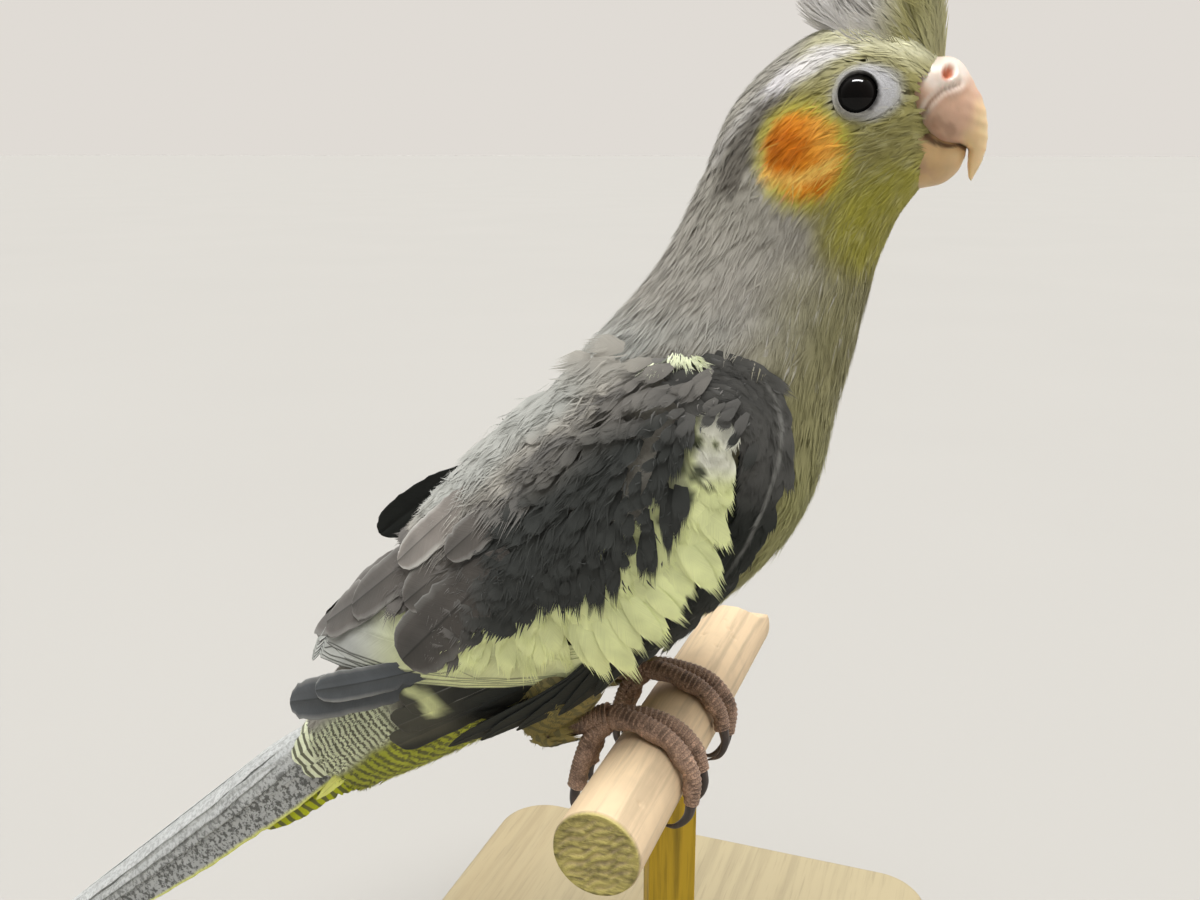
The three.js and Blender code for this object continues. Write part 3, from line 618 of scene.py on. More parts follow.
class Nodes:
    """Short ways to add nodes and join them."""

    def __init__(self, tree):
        self.tree = tree
        self.shader = tree.nodes.get("Principled BSDF")

    def fix(self, **values):
        """Sets the shader's plain numbers and colours."""
        for key, value in values.items():
            self.shader.inputs[key].default_value = value

    def colour(self, value):
        self.set(self.shader.inputs["Base Color"], value)

    def toned(self, base, tone):
        """A colour darkened by a grey tone, as the shader's base colour."""
        self.colour(self.blend(base or self.attribute("markings"), tone, 1.0, "MULTIPLY"))

    def add(self, kind, **settings):
        node = self.tree.nodes.new(kind)
        for key, value in settings.items():
            setattr(node, key, value)
        return node

    def set(self, socket, value):
        if isinstance(value, bpy.types.NodeSocket):
            self.tree.links.new(value, socket)
        else:
            socket.default_value = value

    def math(self, operation, first, second=0.5, third=None):
        node = self.add("ShaderNodeMath", operation=operation)
        self.set(node.inputs[0], first)
        self.set(node.inputs[1], second)
        if third is not None:
            self.set(node.inputs[2], third)
        return node.outputs[0]

    def ramp(self, value, low, high, to_low=0.0, to_high=1.0):
        node = self.add("ShaderNodeMapRange", interpolation_type="SMOOTHSTEP")
        self.set(node.inputs["Value"], value)
        for key, number in zip(("From Min", "From Max", "To Min", "To Max"), (low, high, to_low, to_high)):
            node.inputs[key].default_value = number
        return node.outputs["Result"]

    def blend(self, first, second, share, mode="MIX"):
        node = self.add("ShaderNodeMix", data_type="RGBA", blend_type=mode)
        self.set(node.inputs["Factor"], share)
        self.set(node.inputs["A"], first if isinstance(first, bpy.types.NodeSocket) else (*linear(first), 1))
        self.set(node.inputs["B"], second if isinstance(second, bpy.types.NodeSocket) else (*linear(second), 1))
        return next(s for s in node.outputs if s.type == "RGBA")

    def grey(self, value):
        node = self.add("ShaderNodeCombineColor")
        for key in ("Red", "Green", "Blue"):
            self.set(node.inputs[key], value)
        return node.outputs["Color"]

    def noise(self, vector, scale, detail=2.0, roughness=0.5, distortion=0.0):
        node = self.add("ShaderNodeTexNoise")
        self.set(node.inputs["Vector"], vector)
        keys = ("Scale", "Detail", "Roughness", "Distortion")
        for key, number in zip(keys, (scale, detail, roughness, distortion)):
            node.inputs[key].default_value = number
        return node.outputs["Fac"]

    def cells(self, scale, width):
        """Small scales, dark along their edges."""
        node = self.add("ShaderNodeTexVoronoi", feature="DISTANCE_TO_EDGE")
        self.set(node.inputs["Vector"], self.place())
        node.inputs["Scale"].default_value = scale
        return self.ramp(node.outputs["Distance"], 0.0, width)

    def stretch(self, vector, scale, turn=(0, 0, 0)):
        node = self.add("ShaderNodeMapping")
        self.set(node.inputs["Vector"], vector)
        node.inputs["Scale"].default_value = scale
        node.inputs["Rotation"].default_value = turn
        return node.outputs["Vector"]

    def place(self):
        return self.add("ShaderNodeTexCoord").outputs["Object"]

    def attribute(self, name, output="Color"):
        return self.add("ShaderNodeAttribute", attribute_name=name).outputs[output]

    def bump(self, height, strength, distance):
        node = self.add("ShaderNodeBump")
        node.inputs["Strength"].default_value = strength
        node.inputs["Distance"].default_value = distance
        self.set(node.inputs["Height"], height)
        self.tree.links.new(node.outputs["Normal"], self.shader.inputs["Normal"])


def plumage_material(name, roughness=0.8, slant=1.0, *, pitch, contrast, relief, hair=False):
    """Feather webs: fine barbs that run out from the shaft, over the markings of the mesh."""
    material, n = new_material(name, (0.5, 0.5, 0.5), roughness, specular=0.25)
    split = n.add("ShaderNodeSeparateXYZ")
    n.set(split.inputs[0], n.add("ShaderNodeUVMap", uv_map="barbs").outputs["UV"])
    reach = n.math("ABSOLUTE", split.outputs["X"])
    lanes = n.add("ShaderNodeCombineXYZ")
    if hair:
        n.set(lanes.inputs["X"], n.math("DIVIDE", split.outputs["X"], pitch))
        n.set(lanes.inputs["Y"], n.math("MULTIPLY", split.outputs["Y"], 0.3))
    else:
        # a barb keeps its own number all the way out from the shaft
        number = n.math("SUBTRACT", split.outputs["Y"], n.math("MULTIPLY", reach, slant))
        n.set(lanes.inputs["X"], n.math("DIVIDE", number, pitch))
        n.set(lanes.inputs["Y"], n.math("MULTIPLY", reach, 0.25))
        n.set(lanes.inputs["Z"], n.ramp(split.outputs["X"], -0.05, 0.05, 0.0, 7.0))
    fine = n.noise(lanes.outputs[0], 1.0, detail=3.0, roughness=0.6)
    soft = n.noise(n.place(), 170.0, detail=3.0)
    dark = n.math("MULTIPLY_ADD", fine, 2 * contrast, 1 - contrast)
    dark = n.math("MULTIPLY", dark, n.math("MULTIPLY_ADD", soft, 0.4, 0.8))
    # cross bars and mottling where the mesh asks for them
    waver = n.math("MULTIPLY_ADD", n.noise(n.place(), 330.0, detail=2.0), 3.6, n.attribute("bar_run", "Fac"))
    bars = n.ramp(n.math("SINE", n.math("MULTIPLY_ADD", reach, 0.7, waver)), -0.15, 0.5)
    specks = n.ramp(n.noise(n.stretch(n.place(), (1, 1.6, 1)), 900.0, detail=3.0, roughness=0.7), 0.46, 0.58)
    hues = bpy.context.scene.plumage
    base = n.blend(n.attribute("markings"), hues.bar_dark, n.math("MULTIPLY", bars, n.attribute("bars", "Fac")))
    base = n.blend(base, hues.mottle_dark, n.math("MULTIPLY", specks, n.attribute("mottle", "Fac")))
    n.toned(base, n.grey(dark))
    n.fix(**{"Sheen Weight": 0.08, "Sheen Roughness": 0.5})
    n.bump(fine, relief, 0.0001)
    return material


# Settings

def colour_setting(name, colour, description):
    return FloatVectorProperty(
        name=name, description=description, default=colour, size=3, subtype="COLOR_GAMMA", min=0, max=1
    )


def size_setting(name, size, low, high, description):
    description += ", in millimetres"
    return FloatProperty(name=name, description=description, default=size, min=low, max=high)


class PlumageSettings(bpy.types.PropertyGroup):
    """Sizes of the coat and colours of its markings."""

    coat_depth: size_setting("Coat depth", 1.2, 0.3, 3, "From the skin to the feather tips")
    body_spacing: size_setting("Body spacing", 2.3, 1.5, 6, "Between the roots of body feathers")
    body_length: size_setting("Body feathers", 9.0, 4, 16, "Length of body feathers")
    head_spacing: size_setting("Head spacing", 1.1, 0.8, 4, "Between the roots of head feathers")
    head_length: size_setting("Head feathers", 5.4, 2, 9, "Length of head feathers")
    crest_count: IntProperty(name="Crest feathers", description="Feathers in the crest", default=84, min=12, max=160)
    mantle: colour_setting("Mantle", (0.65, 0.635, 0.60), "Back and sides")
    breast: colour_setting("Breast", (0.595, 0.578, 0.42), "Breast")
    belly: colour_setting("Belly", (0.61, 0.61, 0.38), "Low breast and belly")
    undertail: colour_setting("Vent", (0.75, 0.78, 0.12), "Vent and flanks near the tail")
    nape: colour_setting("Nape", (0.65, 0.635, 0.59), "Back of the neck")
    face: colour_setting("Face", (0.58, 0.555, 0.34), "Face")
    forehead: colour_setting("Forehead", (0.84, 0.83, 0.70), "Forehead and crown")
    throat: colour_setting("Throat", (0.70, 0.68, 0.25), "Throat")
    stripe: colour_setting("Nape stripe", (0.92, 0.91, 0.92), "White stripe behind the eye")
    hind_head: colour_setting("Hind head", (0.41, 0.39, 0.355), "Grey behind the cheek")
    cheek: colour_setting("Cheek", (0.93, 0.60, 0.15), "Cheek patch")
    cheek_deep: colour_setting("Cheek middle", (0.80, 0.43, 0.02), "Middle of the cheek patch")
    cheek_fold: colour_setting("Cheek fold", (1.0, 0.82, 0.42), "Pale fold low in the cheek patch")
    cheek_rim: colour_setting("Cheek rim", (0.80, 0.76, 0.28), "Yellow round the cheek patch")
    eye_ring: colour_setting("Eye ring", (0.71, 0.71, 0.72), "Bare skin round the eye")
    wing_lesser: colour_setting("Shoulder", (0.415, 0.41, 0.40), "Small coverts of the shoulder")
    wing_dark: colour_setting("Wing", (0.175, 0.188, 0.180), "Coverts of the wing")
    wing_edge: colour_setting("Leading edge", (0.11, 0.125, 0.11), "Leading edge and primaries")
    wing_white: colour_setting("Wing patch", (0.91, 0.935, 0.69), "White patch of the wing")
    wing_shade: colour_setting("Wing patch shade", (0.70, 0.73, 0.50), "Duller parts of the white patch")
    primary_brown: colour_setting("Primary ends", (0.30, 0.295, 0.25), "Clipped ends of the primaries")
    tertial: colour_setting("Tertials", (0.415, 0.395, 0.375), "Broad feathers at the back of the wing")
    scapular: colour_setting("Scapulars", (0.53, 0.515, 0.49), "Feathers over the wing's root")
    pale_edge: colour_setting("Pale edges", (0.72, 0.72, 0.70), "Edges of the wing's long feathers")
    secondary: colour_setting("Secondaries", (0.71, 0.72, 0.70), "Outer webs of the secondaries")
    blue_grey: colour_setting("Inner primaries", (0.31, 0.325, 0.34), "Rounded grey feathers over the tail")
    tail_grey: colour_setting("Tail", (0.79, 0.80, 0.795), "Tail feathers")
    tail_yellow: colour_setting("Tail edge", (0.93, 0.94, 0.52), "Outer edge of the tail")
    tail_covert: colour_setting("Tail coverts", (0.93, 0.95, 0.82), "Pale bars over the tail's root")
    bar_dark: colour_setting("Dark bars", (0.34, 0.34, 0.26), "Dark bars of the tail coverts")
    mottle_dark: colour_setting("Mottling", (0.36, 0.365, 0.355), "Dark mottling of the tail")
    crest: colour_setting("Crest", (0.70, 0.68, 0.46), "Crest")
    thigh: colour_setting("Thigh", (0.57, 0.52, 0.31), "Thigh feathers")


class BareSettings(bpy.types.PropertyGroup):
    """Colours and sizes of bill, eyes, feet and claws."""

    eye_radius: size_setting("Eye radius", 3.6, 2, 5, "Radius of the eyeball")
    eye: colour_setting("Eye", (0.035, 0.03, 0.03), "Eyeball")
    bill: colour_setting("Bill", (0.83, 0.68, 0.58), "Sides of the bill")
    bill_dusky: colour_setting("Bill stain", (0.66, 0.52, 0.42), "Dusky mottling on the bill's sides")
    bill_tip: colour_setting("Bill tip", (0.93, 0.81, 0.62), "Horn at the bill's tip")
    cere: colour_setting("Cere", (0.93, 0.87, 0.82), "Cere round the nostrils")
    nostril: colour_setting("Nostril", (0.85, 0.56, 0.44), "Inside the nostrils")
    foot: colour_setting("Feet", (0.66, 0.545, 0.465), "Scales of the feet")
    foot_dark: colour_setting("Foot creases", (0.17, 0.115, 0.10), "Between the scales")
    claw: colour_setting("Claws", (0.19, 0.15, 0.13), "Claws")


class StandSettings(bpy.types.PropertyGroup):
    """Sizes and colours of the perch and its stand."""

    perch_radius: size_setting("Perch radius", 8.0, 5, 12, "Radius of the dowel")
    perch_wood: colour_setting("Perch wood", (0.90, 0.80, 0.66), "Pale dowel")
    end_grain: colour_setting("End grain", (0.73, 0.68, 0.40), "Sawn end of the dowel")
    post_wood: colour_setting("Post wood", (0.78, 0.645, 0.17), "Post")
    base_wood: colour_setting("Base wood", (0.69, 0.64, 0.515), "Base board")
    floor: colour_setting("Floor", (0.690, 0.683, 0.667), "Studio floor")


# Operators

SKIN_VOXEL = 0.0011
SKIN_SHADE = 0.8  # the skin is darker than the coat, so that gaps in it read as shadow
FLESH_DOWN = 1.4  # the thigh's flesh lies this far under its feathers


class COCKATIEL_OT_skin(bpy.types.Operator):
    """One closed skin under the plumage, over head, neck, torso, thighs and the tail's root"""

    bl_idname = "cockatiel.skin"
    bl_label = "Skin"

    def execute(self, context):
        depth = context.scene.plumage.coat_depth

        def body(u, v):
            places = SKIN.at(v, u * 2 * math.pi, -depth)
            # drawn in behind the bill's sides
            behind_bill = smooth(places[:, 0], 40.2, 42.4) * (1 - smooth(np.abs(places[:, 2] - 118.5), 6.5, 10))
            places[:, 1] *= 1 - 0.34 * behind_bill
            return places

        forms = [to_mesh("skin", sheet_of(64, 150, body))]
        thin = np.array(THIGH_RADII) - FLESH_DOWN
        for side in (1, -1):
            forms.append(to_mesh("thigh", tube_bm(THIGH_LINE, thin, 24, 24, side)))
            forms.append(to_mesh("wing_bed", wing_bed(side)))
        bm = bmesh.new()
        for mesh in forms:
            bm.from_mesh(mesh)
        rough = finished("skin_forms", bm)
        remesh = rough.modifiers.new("One surface", "REMESH")
        remesh.mode = "VOXEL"
        remesh.voxel_size = SKIN_VOXEL
        remesh.use_smooth_shade = True
        soften = rough.modifiers.new("Soften", "SMOOTH")
        soften.factor = 0.5
        soften.iterations = 4
        graph = context.evaluated_depsgraph_get()
        mesh = bpy.data.meshes.new_from_object(rough.evaluated_get(graph))
        bpy.data.objects.remove(rough)
        mesh.name = "skin"
        flesh = ("head", "neck", "torso")
        dressed("skin", mesh, skin_material(), flesh, lambda at: body_colour(at) * SKIN_SHADE)
        return {"FINISHED"}


def skin_material():
    material, n = new_material("skin_down", (0.5, 0.5, 0.5), 0.85, specular=0.2)
    down = n.noise(n.stretch(n.place(), (1, 1, 1)), 900.0, detail=3.0)
    tone = n.grey(n.math("MULTIPLY_ADD", down, 0.5, 0.75))
    n.toned(None, tone)
    n.bump(down, 0.4, 0.0004)
    return material


THIGH_LINE = [(-8, -12.5, 27), (-15, -13, 19), (-20, -13.2, 11), (-21.8, -13.3, 5.4)]
THIGH_RADII = [8.4, 8.2, 5.6, 3.4]
CUFF_LINE = [(-22.2, -13.3, 6.6), (-19.6, -13.2, 6.2), (-16.4, -12.8, 7.2)]
CUFF_RADII = [4.0, 3.7, 2.9]


def tube_places(line, radii, share, turn):
    """Places on a round limb, with the way out of it."""
    line = np.asarray(line, float)
    centre = spline(line, share)
    along = unit(spline(line, np.minimum(share + 0.01, 1)) - spline(line, np.maximum(share - 0.01, 0)))
    across = np.array([0, 1, 0]) - along * along[..., 1:2]
    across = unit(across)
    up = np.cross(along, across)
    radius = spline(np.asarray(radii, float)[:, None], share)[..., 0]
    out = across * np.cos(turn)[..., None] + up * np.sin(turn)[..., None]
    return centre + out * radius[..., None], out, along


def tube_bm(line, radii, around, lengthwise, side, shape=None):
    def place(u, v):
        places, out, _ = tube_places(line, radii, v, u * 2 * math.pi)
        if shape is not None:
            places = places + out * shape(u, v)[..., None]
        return places * (1, side, 1)

    return sheet_of(around, lengthwise, place)


def wing_bed(side):
    """The folded wing's flesh, a low mound on the flank under its feathers."""
    outline = np.array(WING_OUTLINE, float)
    middle = np.array([0.0, 56.0])
    closed = np.vstack([outline, outline[:1]])

    def place(u, v):
        edge = spline(closed, u)
        spot = mix(middle, edge, v[..., None] * 1.04)
        t, angle = SHELL.find(spot[..., 0], spot[..., 1])
        rise = mix(-3.5, 1.3, np.sqrt(np.clip(1 - v ** 3, 0, 1)))
        return SHELL.at(t, angle, rise) * (1, side, 1)

    return sheet_of(60, 16, place)


# stations of the body where its coats begin and end; the head's and the neck's overlap
HEAD_END = 3.6
NECK_FROM = 3.4
COAT_ENDS = {"neck": 5.6, "breast_and_back": 7.6, "belly_and_rump": 11.0}


class COCKATIEL_OT_body_coat(bpy.types.Operator):
    """Overlapping contour feathers of the neck, breast, back and belly"""

    bl_idname = "cockatiel.body_coat"
    bl_label = "Body plumage"

    def execute(self, context):
        hues = context.scene.plumage
        finish = plumage_material("body_plumage", slant=1.6, pitch=0.28, contrast=0.15, relief=0.3)
        first = NECK_FROM / STATIONS
        for order, (name, end) in enumerate(COAT_ENDS.items()):
            rng = np.random.default_rng(SEED + order)

            def spacing(t):
                return mix(hues.head_spacing * 1.15, hues.body_spacing, smooth(t * STATIONS, NECK_FROM, 6.4))

            def open_to_view(t, angle):
                at = BODY.at(t, angle)
                under_wing = within(WING_OUTLINE, at[:, 0], at[:, 2], 4, 6) * (np.abs(at[:, 1]) > 9)
                return under_wing < 0.5

            t, angle = spots(BODY, (first, end / STATIONS), spacing, rng, open_to_view)
            count = len(t)
            grown = smooth(t * STATIONS, NECK_FROM, 6.6)
            length = mix(hues.head_length, hues.body_length, grown) * rng.uniform(0.85, 1.2, count)
            width = mix(2.0, 4.8, grown) * rng.uniform(0.8, 1.15, count)
            rates = steered(BODY, t, angle, rng.normal(0, 0.12, count), length)
            lift = (mix(-0.7, -0.9, grown), 0.1 + rng.uniform(-0.1, 0.12, count))
            rows = (0, 0.35, 0.6)
            lot = blades(BODY, t, angle, rates, length, width, lift, rng, strips=10, rows=rows, ragged=0.3)
            fine = spots(BODY, (first, end / STATIONS), evenly(1.9), rng, open_to_view)
            over = wisps(BODY, *fine, rng.uniform(3.5, 6.5, len(fine[0])), rng, (0.0, 0.15))
            tone = np.concatenate([rng.normal(0, 0.035, count), rng.normal(0.03, 0.06, len(fine[0]))])
            lot = gather([lot, over])
            colours = body_colour(lot["corners"])
            tone = (1 + tone[lot["feather"]]) * mix(0.95, 1.03, smooth(lot["share"], 0.2, 0.95))
            cream, olive = tail_marks(lot["corners"])
            run = along_tail(lot["corners"])
            x, z = lot["corners"][:, 0], lot["corners"][:, 2]
            vent = smooth(24 - z + 0.62 * x, 4, 20)
            bars = np.maximum(0.9 * cream, 0.8 * np.maximum(olive, vent))
            pitch = np.where(cream > olive, 2.0, 3.0)
            colours = colours * tone[:, None]
            coat_piece(f"{name}_feathers", lot, colours, finish, bars=bars, pitch=pitch, run=run)
            first = end / STATIONS
        return {"FINISHED"}


BRISTLES = 300
BILL_REAR = [(39.6, 121.6), (39.8, 118.6), (40.4, 115.5), (40.8, 112.5), (41.0, 109.4)]


class COCKATIEL_OT_head_coat(bpy.types.Operator):
    """Fine, hair-like feathers of the face, crown, cheeks and throat"""

    bl_idname = "cockatiel.head_coat"
    bl_label = "Head plumage"

    def execute(self, context):
        hues = context.scene.plumage
        rng = np.random.default_rng(SEED + 20)
        finish = plumage_material("head_plumage", pitch=0.16, contrast=0.22, relief=0.35, hair=True)

        def spacing(t):
            return hues.head_spacing * mix(0.62, 0.86, smooth(t * STATIONS, 0.3, 3.4))

        def open_to_view(t, angle):
            at = BODY.at(t, angle)
            x, side, z = at[:, 0], np.abs(at[:, 1]), at[:, 2]
            ring = (from_ring(x, z) < 0.94) & (side > 5)
            lore = (x > 41.4 + 0.2 * np.abs(z - 119)) & (np.abs(z - 119.5) < 7) & (side > 3)
            return ~ring & ~lore

        t, angle = spots(BODY, (0.1 / STATIONS, HEAD_END / STATIONS), spacing, rng, open_to_view)
        count = len(t)
        at = BODY.at(t, angle)
        grown = smooth(t * STATIONS, 0.1, 2.4)
        length = mix(2.0, hues.head_length, grown) * rng.uniform(0.8, 1.25, count)
        near = (np.abs(at[:, 1]) > 5) * (1 - smooth(from_ring(at[:, 0], at[:, 2]), 1.0, 1.9))
        ahead = near * (at[:, 0] > RING[0])
        length = length * (1 - 0.55 * ahead) * (1 - 0.3 * near)
        width = mix(0.8, 1.5, grown) * rng.uniform(0.8, 1.2, count)
        # feathers part round the eye
        above = np.sign(at[:, 2] - RING[1]) * np.sign(at[:, 1])
        drift = rng.normal(0, 0.15, count) + 0.8 * ahead * above
        lift = (mix(-0.2, -0.4, grown), (0.05 + rng.uniform(-0.02, 0.12, count)) * (1 - 0.5 * near))
        rates = steered(BODY, t, angle, drift, length)
        shape = {"strips": 4, "rows": (0, 0.5), "ragged": 0.3, "curl": 1.0}
        lot = blades(BODY, t, angle, rates, length, width, lift, rng, **shape)
        fine = spots(BODY, (0.3 / STATIONS, HEAD_END / STATIONS), evenly(1.15), rng, open_to_view)
        hairs = len(fine[0])
        reach = mix(1.6, 4.6, smooth(fine[0] * STATIONS, 0.2, 2.4)) * rng.uniform(0.7, 1.2, hairs)
        over = wisps(BODY, *fine, reach, rng, (0.0, 0.12))
        # bristles that reach forward over the rear edge of the bill
        x, z = spline(BILL_REAR, rng.uniform(0, 1, BRISTLES)).T
        x = x + rng.uniform(-0.8, 0.5, BRISTLES)
        way, reach = rng.normal(-0.2, 0.4, BRISTLES), rng.uniform(2.0, 3.6, BRISTLES)
        t, angle, t_rate, a_rate = aimed(BODY, x, z, x + reach * np.cos(way), z + reach * np.sin(way))
        width = np.full(BRISTLES, 0.55)
        turned = ((t, 1), (angle, -1), (t_rate, 1), (a_rate, -1), (reach, 1), (width, 1))
        both = [np.concatenate([value, value * turn]) for value, turn in turned]
        shape = {"strips": 2, "rows": (0, 0.5), "ragged": 0.3, "curl": 1.5}
        front = blades(BODY, *both[:2], both[2:4], *both[4:], (-0.3, -0.9), rng, **shape)
        tones = ((0, 0.05, count), (0.06, 0.1, hairs), (0.05, 0.1, 2 * BRISTLES))
        tone = np.concatenate([rng.normal(*drawn) for drawn in tones])
        lot = gather([lot, over, front])
        colours = body_colour(lot["corners"])
        tone = (1 + tone[lot["feather"]]) * mix(0.96, 1.03, smooth(lot["share"], 0.2, 0.95))
        coat_piece("head_feathers", lot, colours * tone[:, None], finish)
        return {"FINISHED"}


# Long feathers, each with a shaft and two webs.

WEB_THICKNESS = 0.0001
WEB = np.array([-1, -0.93, -0.7, -0.4, -0.06, 0, 0.06, 0.4, 0.7, 0.93, 1])
# outlines of long feathers: stops along them, and their half widths there
PROFILES = {
    "round": ((0, 0.12, 0.35, 0.6, 0.8, 0.91, 0.97, 1), (0.35, 0.6, 0.92, 1, 0.95, 0.76, 0.48, 0.1)),
    "sharp": ((0, 0.12, 0.35, 0.6, 0.8, 0.92, 0.98, 1), (0.35, 0.6, 0.98, 1, 0.8, 0.48, 0.2, 0.05)),
    "broad": ((0, 0.12, 0.4, 0.7, 0.86, 0.94, 0.985, 1), (0.35, 0.6, 0.92, 1, 0.97, 0.8, 0.48, 0.12)),
    "square": ((0, 0.12, 0.35, 0.6, 0.85, 0.955, 0.985, 1), (0.35, 0.6, 0.9, 1, 1, 0.96, 0.8, 0.55)),
    "long": ((0, 0.1, 0.3, 0.6, 0.8, 0.92, 0.98, 1), (0.3, 0.7, 1, 0.95, 0.75, 0.46, 0.2, 0.04)),
}


def quill(place, length, width, profile, rng, steps=26, splits=1, waver=0.03, camber=SHELL_RADIUS):
    """One long feather. Its place function gives, for shares along it, the centre, the way out
    and the way across."""
    s = np.concatenate([np.linspace(0, 0.82, steps - 8), [0.87, 0.91, 0.94, 0.96, 0.975, 0.985, 0.994, 1.0]])
    centre, out, side = place(s)
    half = np.interp(s, *PROFILES[profile]) * width / 2
    edges = 1 + waver * rng.normal(0, 1, (len(s), 2))
    for _ in range(rng.integers(0, splits + 1)):
        edges[rng.integers(6, len(s) - 3), rng.integers(0, 2)] *= rng.uniform(0.6, 0.85)
    across = np.broadcast_to(WEB, (len(s), len(WEB)))
    reach = np.where(np.abs(across) > 0.5, across * edges[:, (0,) * 5 + (1,) * 6], across) * half[:, None]
    vane = reach ** 2 / (2 * camber) - 0.12 * (np.abs(WEB) < 0.01) * (half[:, None] > 0.6)
    corners = centre[:, None] + side[:, None] * reach[..., None] - out[:, None] * vane[..., None]
    wide = len(WEB)
    low = (np.arange(len(s) - 1)[:, None] * wide + np.arange(wide - 1)).reshape(-1)
    high = low + wide
    faces = np.concatenate([np.stack([low, low + 1, high + 1], -1), np.stack([low, high + 1, high], -1)])
    run = np.broadcast_to(s[:, None] * length, reach.shape)
    cell = np.stack(np.broadcast_arrays(WEB * 0.5 + 0.5, s[:, None]), -1)
    return {
        "corners": corners.reshape(-1, 3), "faces": faces, "patch": cell.reshape(-1, 2),
        "barbs": np.stack([reach, run + BARB_SHIFT * rng.random()], -1).reshape(-1, 2),
        "share": np.repeat(s, wide), "across": np.tile(WEB, len(s)), "feather": np.zeros(len(s) * wide, int),
        "to_tip": (length - run).reshape(-1),
    }


def laid_out(lots):
    """Long feathers as one lot, each with its own cell of the baking map."""
    whole = gather(lots)
    cells = math.ceil(math.sqrt(len(lots)))
    column, row = whole["feather"] % cells, whole["feather"] // cells
    whole["patch"] = (np.stack([column, row], -1) + 0.06 + 0.88 * whole["patch"]) / cells
    return whole


def thicken(piece):
    """Gives long feathers the thickness of their webs."""
    thick = piece.modifiers.new("Web thickness", "SOLIDIFY")
    thick.thickness = WEB_THICKNESS
    thick.offset = -1


def labelled(lot, **values):
    for name, value in values.items():
        lot[name] = np.full(len(lot["share"]), value)
    return lot


# The folded wing. Places on it are (x, z) seen from the side, laid on the shell at a lift off it.

PRIMARY, INNER_PRIMARY, SECONDARY, TERTIAL, RAISED, WHITE, DARK, SCAPULAR, EDGE = range(9)
WING_EDGE = [
    (4, 83.5), (11.3, 82.6), (16.8, 82), (20.8, 79.6), (23.3, 76), (24.3, 71.5), (24, 65), (22.2, 58.1),
    (19.2, 50.2), (14.8, 42.4), (8.6, 34.6), (0.6, 26.3), (-10, 18.4), (-22, 11.5), (-34, 5),
]
FLAT_FROM = 2.15  # the shell's angle past which a long feather no longer bends round the front
LEADING_EDGE = [
    (23.4, 71), (22.9, 65), (21, 58.1), (18, 50.2), (13.9, 43), (7.9, 35), (-0.1, 26.3), (-10.9, 16.7),
    (-26.6, 7.7), (-40.5, 1.6),
]
SECONDARY_EDGE = [
    (2, 31), (-3.5, 25), (-11.2, 20.5), (-18.2, 18.9), (-26.4, 17.8), (-35.7, 17), (-46.4, 15.6),
    (-59.2, 13.8), (-69.0, 11.4), (-73.6, 9.6),
]
BACK_EDGE = [(11, 82), (4, 81.5), (-3, 76.8), (-12, 68.6), (-21, 62.6), (-30, 56.5), (-41.4, 50.3)]
FINGERS = [
    (-40.5, 22), (-34, 27), (-27.6, 30.5), (-22.8, 34.1), (-18.5, 36.8), (-15.1, 38.1), (-11.6, 38.1),
    (-6.8, 38.6), (-3.1, 42.8), (0.5, 43.2), (3.2, 45), (6.5, 50.4), (8.2, 54.2), (7.4, 58.5),
    (8.4, 63.5), (10.6, 68.5), (13.6, 73.4),
]
# tips of the groups of dark feathers that hang over the white patch
FINGER_TIPS = [
    (-39, 23.2), (-34, 27.0), (-28.5, 30.2), (-23.5, 33.7), (-19, 36.4), (-15.2, 37.4), (-11.6, 37.8),
    (-6.6, 37.6), (-3.2, 40.8), (2.5, 44.6), (5.7, 49.6), (8.5, 52.7), (5.2, 57.2), (7.6, 62.4),
    (10.0, 67.2),
]
DOWN = -math.pi / 2
SCAPULAR_FIELD = [
    (8, 82), (2, 84), (-7, 80.5), (-17, 73.5), (-30, 64), (-44, 53), (-44, 44), (-34, 46), (-24, 53),
    (-13, 63), (-3, 73), (4, 79),
]
SHOULDER_EDGE = [(16.8, 74), (20, 66), (20.5, 72), (18.5, 78), (13, 82)]
DARK_FIELD = FINGERS + SHOULDER_EDGE + BACK_EDGE[1:] + [(-46, 42), (-46, 30)]
WHITE_ROOTS = [
    (13.8, 75.6), (12.2, 71.0), (10.0, 65.4), (7.0, 58.0), (2.0, 50.4), (-4.0, 46.4), (-10.1, 43.4),
    (-17.3, 40.6), (-25.2, 36.7), (-32.7, 31.8),
]
WHITE_TIPS = [
    (15.2, 67.4), (15.4, 59.4), (13.8, 50.6), (10.8, 44.6), (7.0, 38.6), (1.4, 31.8), (-8, 26.2),
    (-21, 22.8), (-33, 21.2), (-41, 20.6),
]
# dusky blotches in the upper end of the white patch, with their sizes
WHITE_BLOTS = [
    (12.0, 64.0, 1.7), (11.4, 69.0, 1.7), (8.4, 65.4, 2.0), (10.4, 60.4, 1.6), (8.2, 57.8, 1.2),
    (13.8, 61.6, 0.8), (9.4, 71.4, 2.0), (14.6, 69.0, 0.6), (6.0, 55.0, 0.9),
]
# a pale spot on the primaries behind the white patch
PALE_SPOT = [
    (-47.0, 15.2), (-43.6, 15.4), (-41.0, 13.2), (-39.4, 9.8), (-41.2, 8.2), (-43.6, 9.0), (-44.4, 12.4),
    (-47.5, 13.2),
]
TUFT_HAIRS = 120
# ragged points along the lower edge of the white patch, from root to tip
WHITE_POINTS = [
    ((-1.0, 39.5), (3.6, 32.9)), ((-3.0, 38.0), (1.4, 32.2)), ((-5.0, 36.5), (-1.6, 30.2)),
    ((-8.0, 34.0), (-5.4, 26.8)), ((-10.5, 32.0), (-8.4, 25.6)), ((-1.5, 41.0), (4.6, 36.0)),
    ((-4.5, 38.0), (-2.2, 28.8)), ((-20, 31), (-19.5, 22.5)), ((-13.5, 33), (-12.6, 24.5)),
]


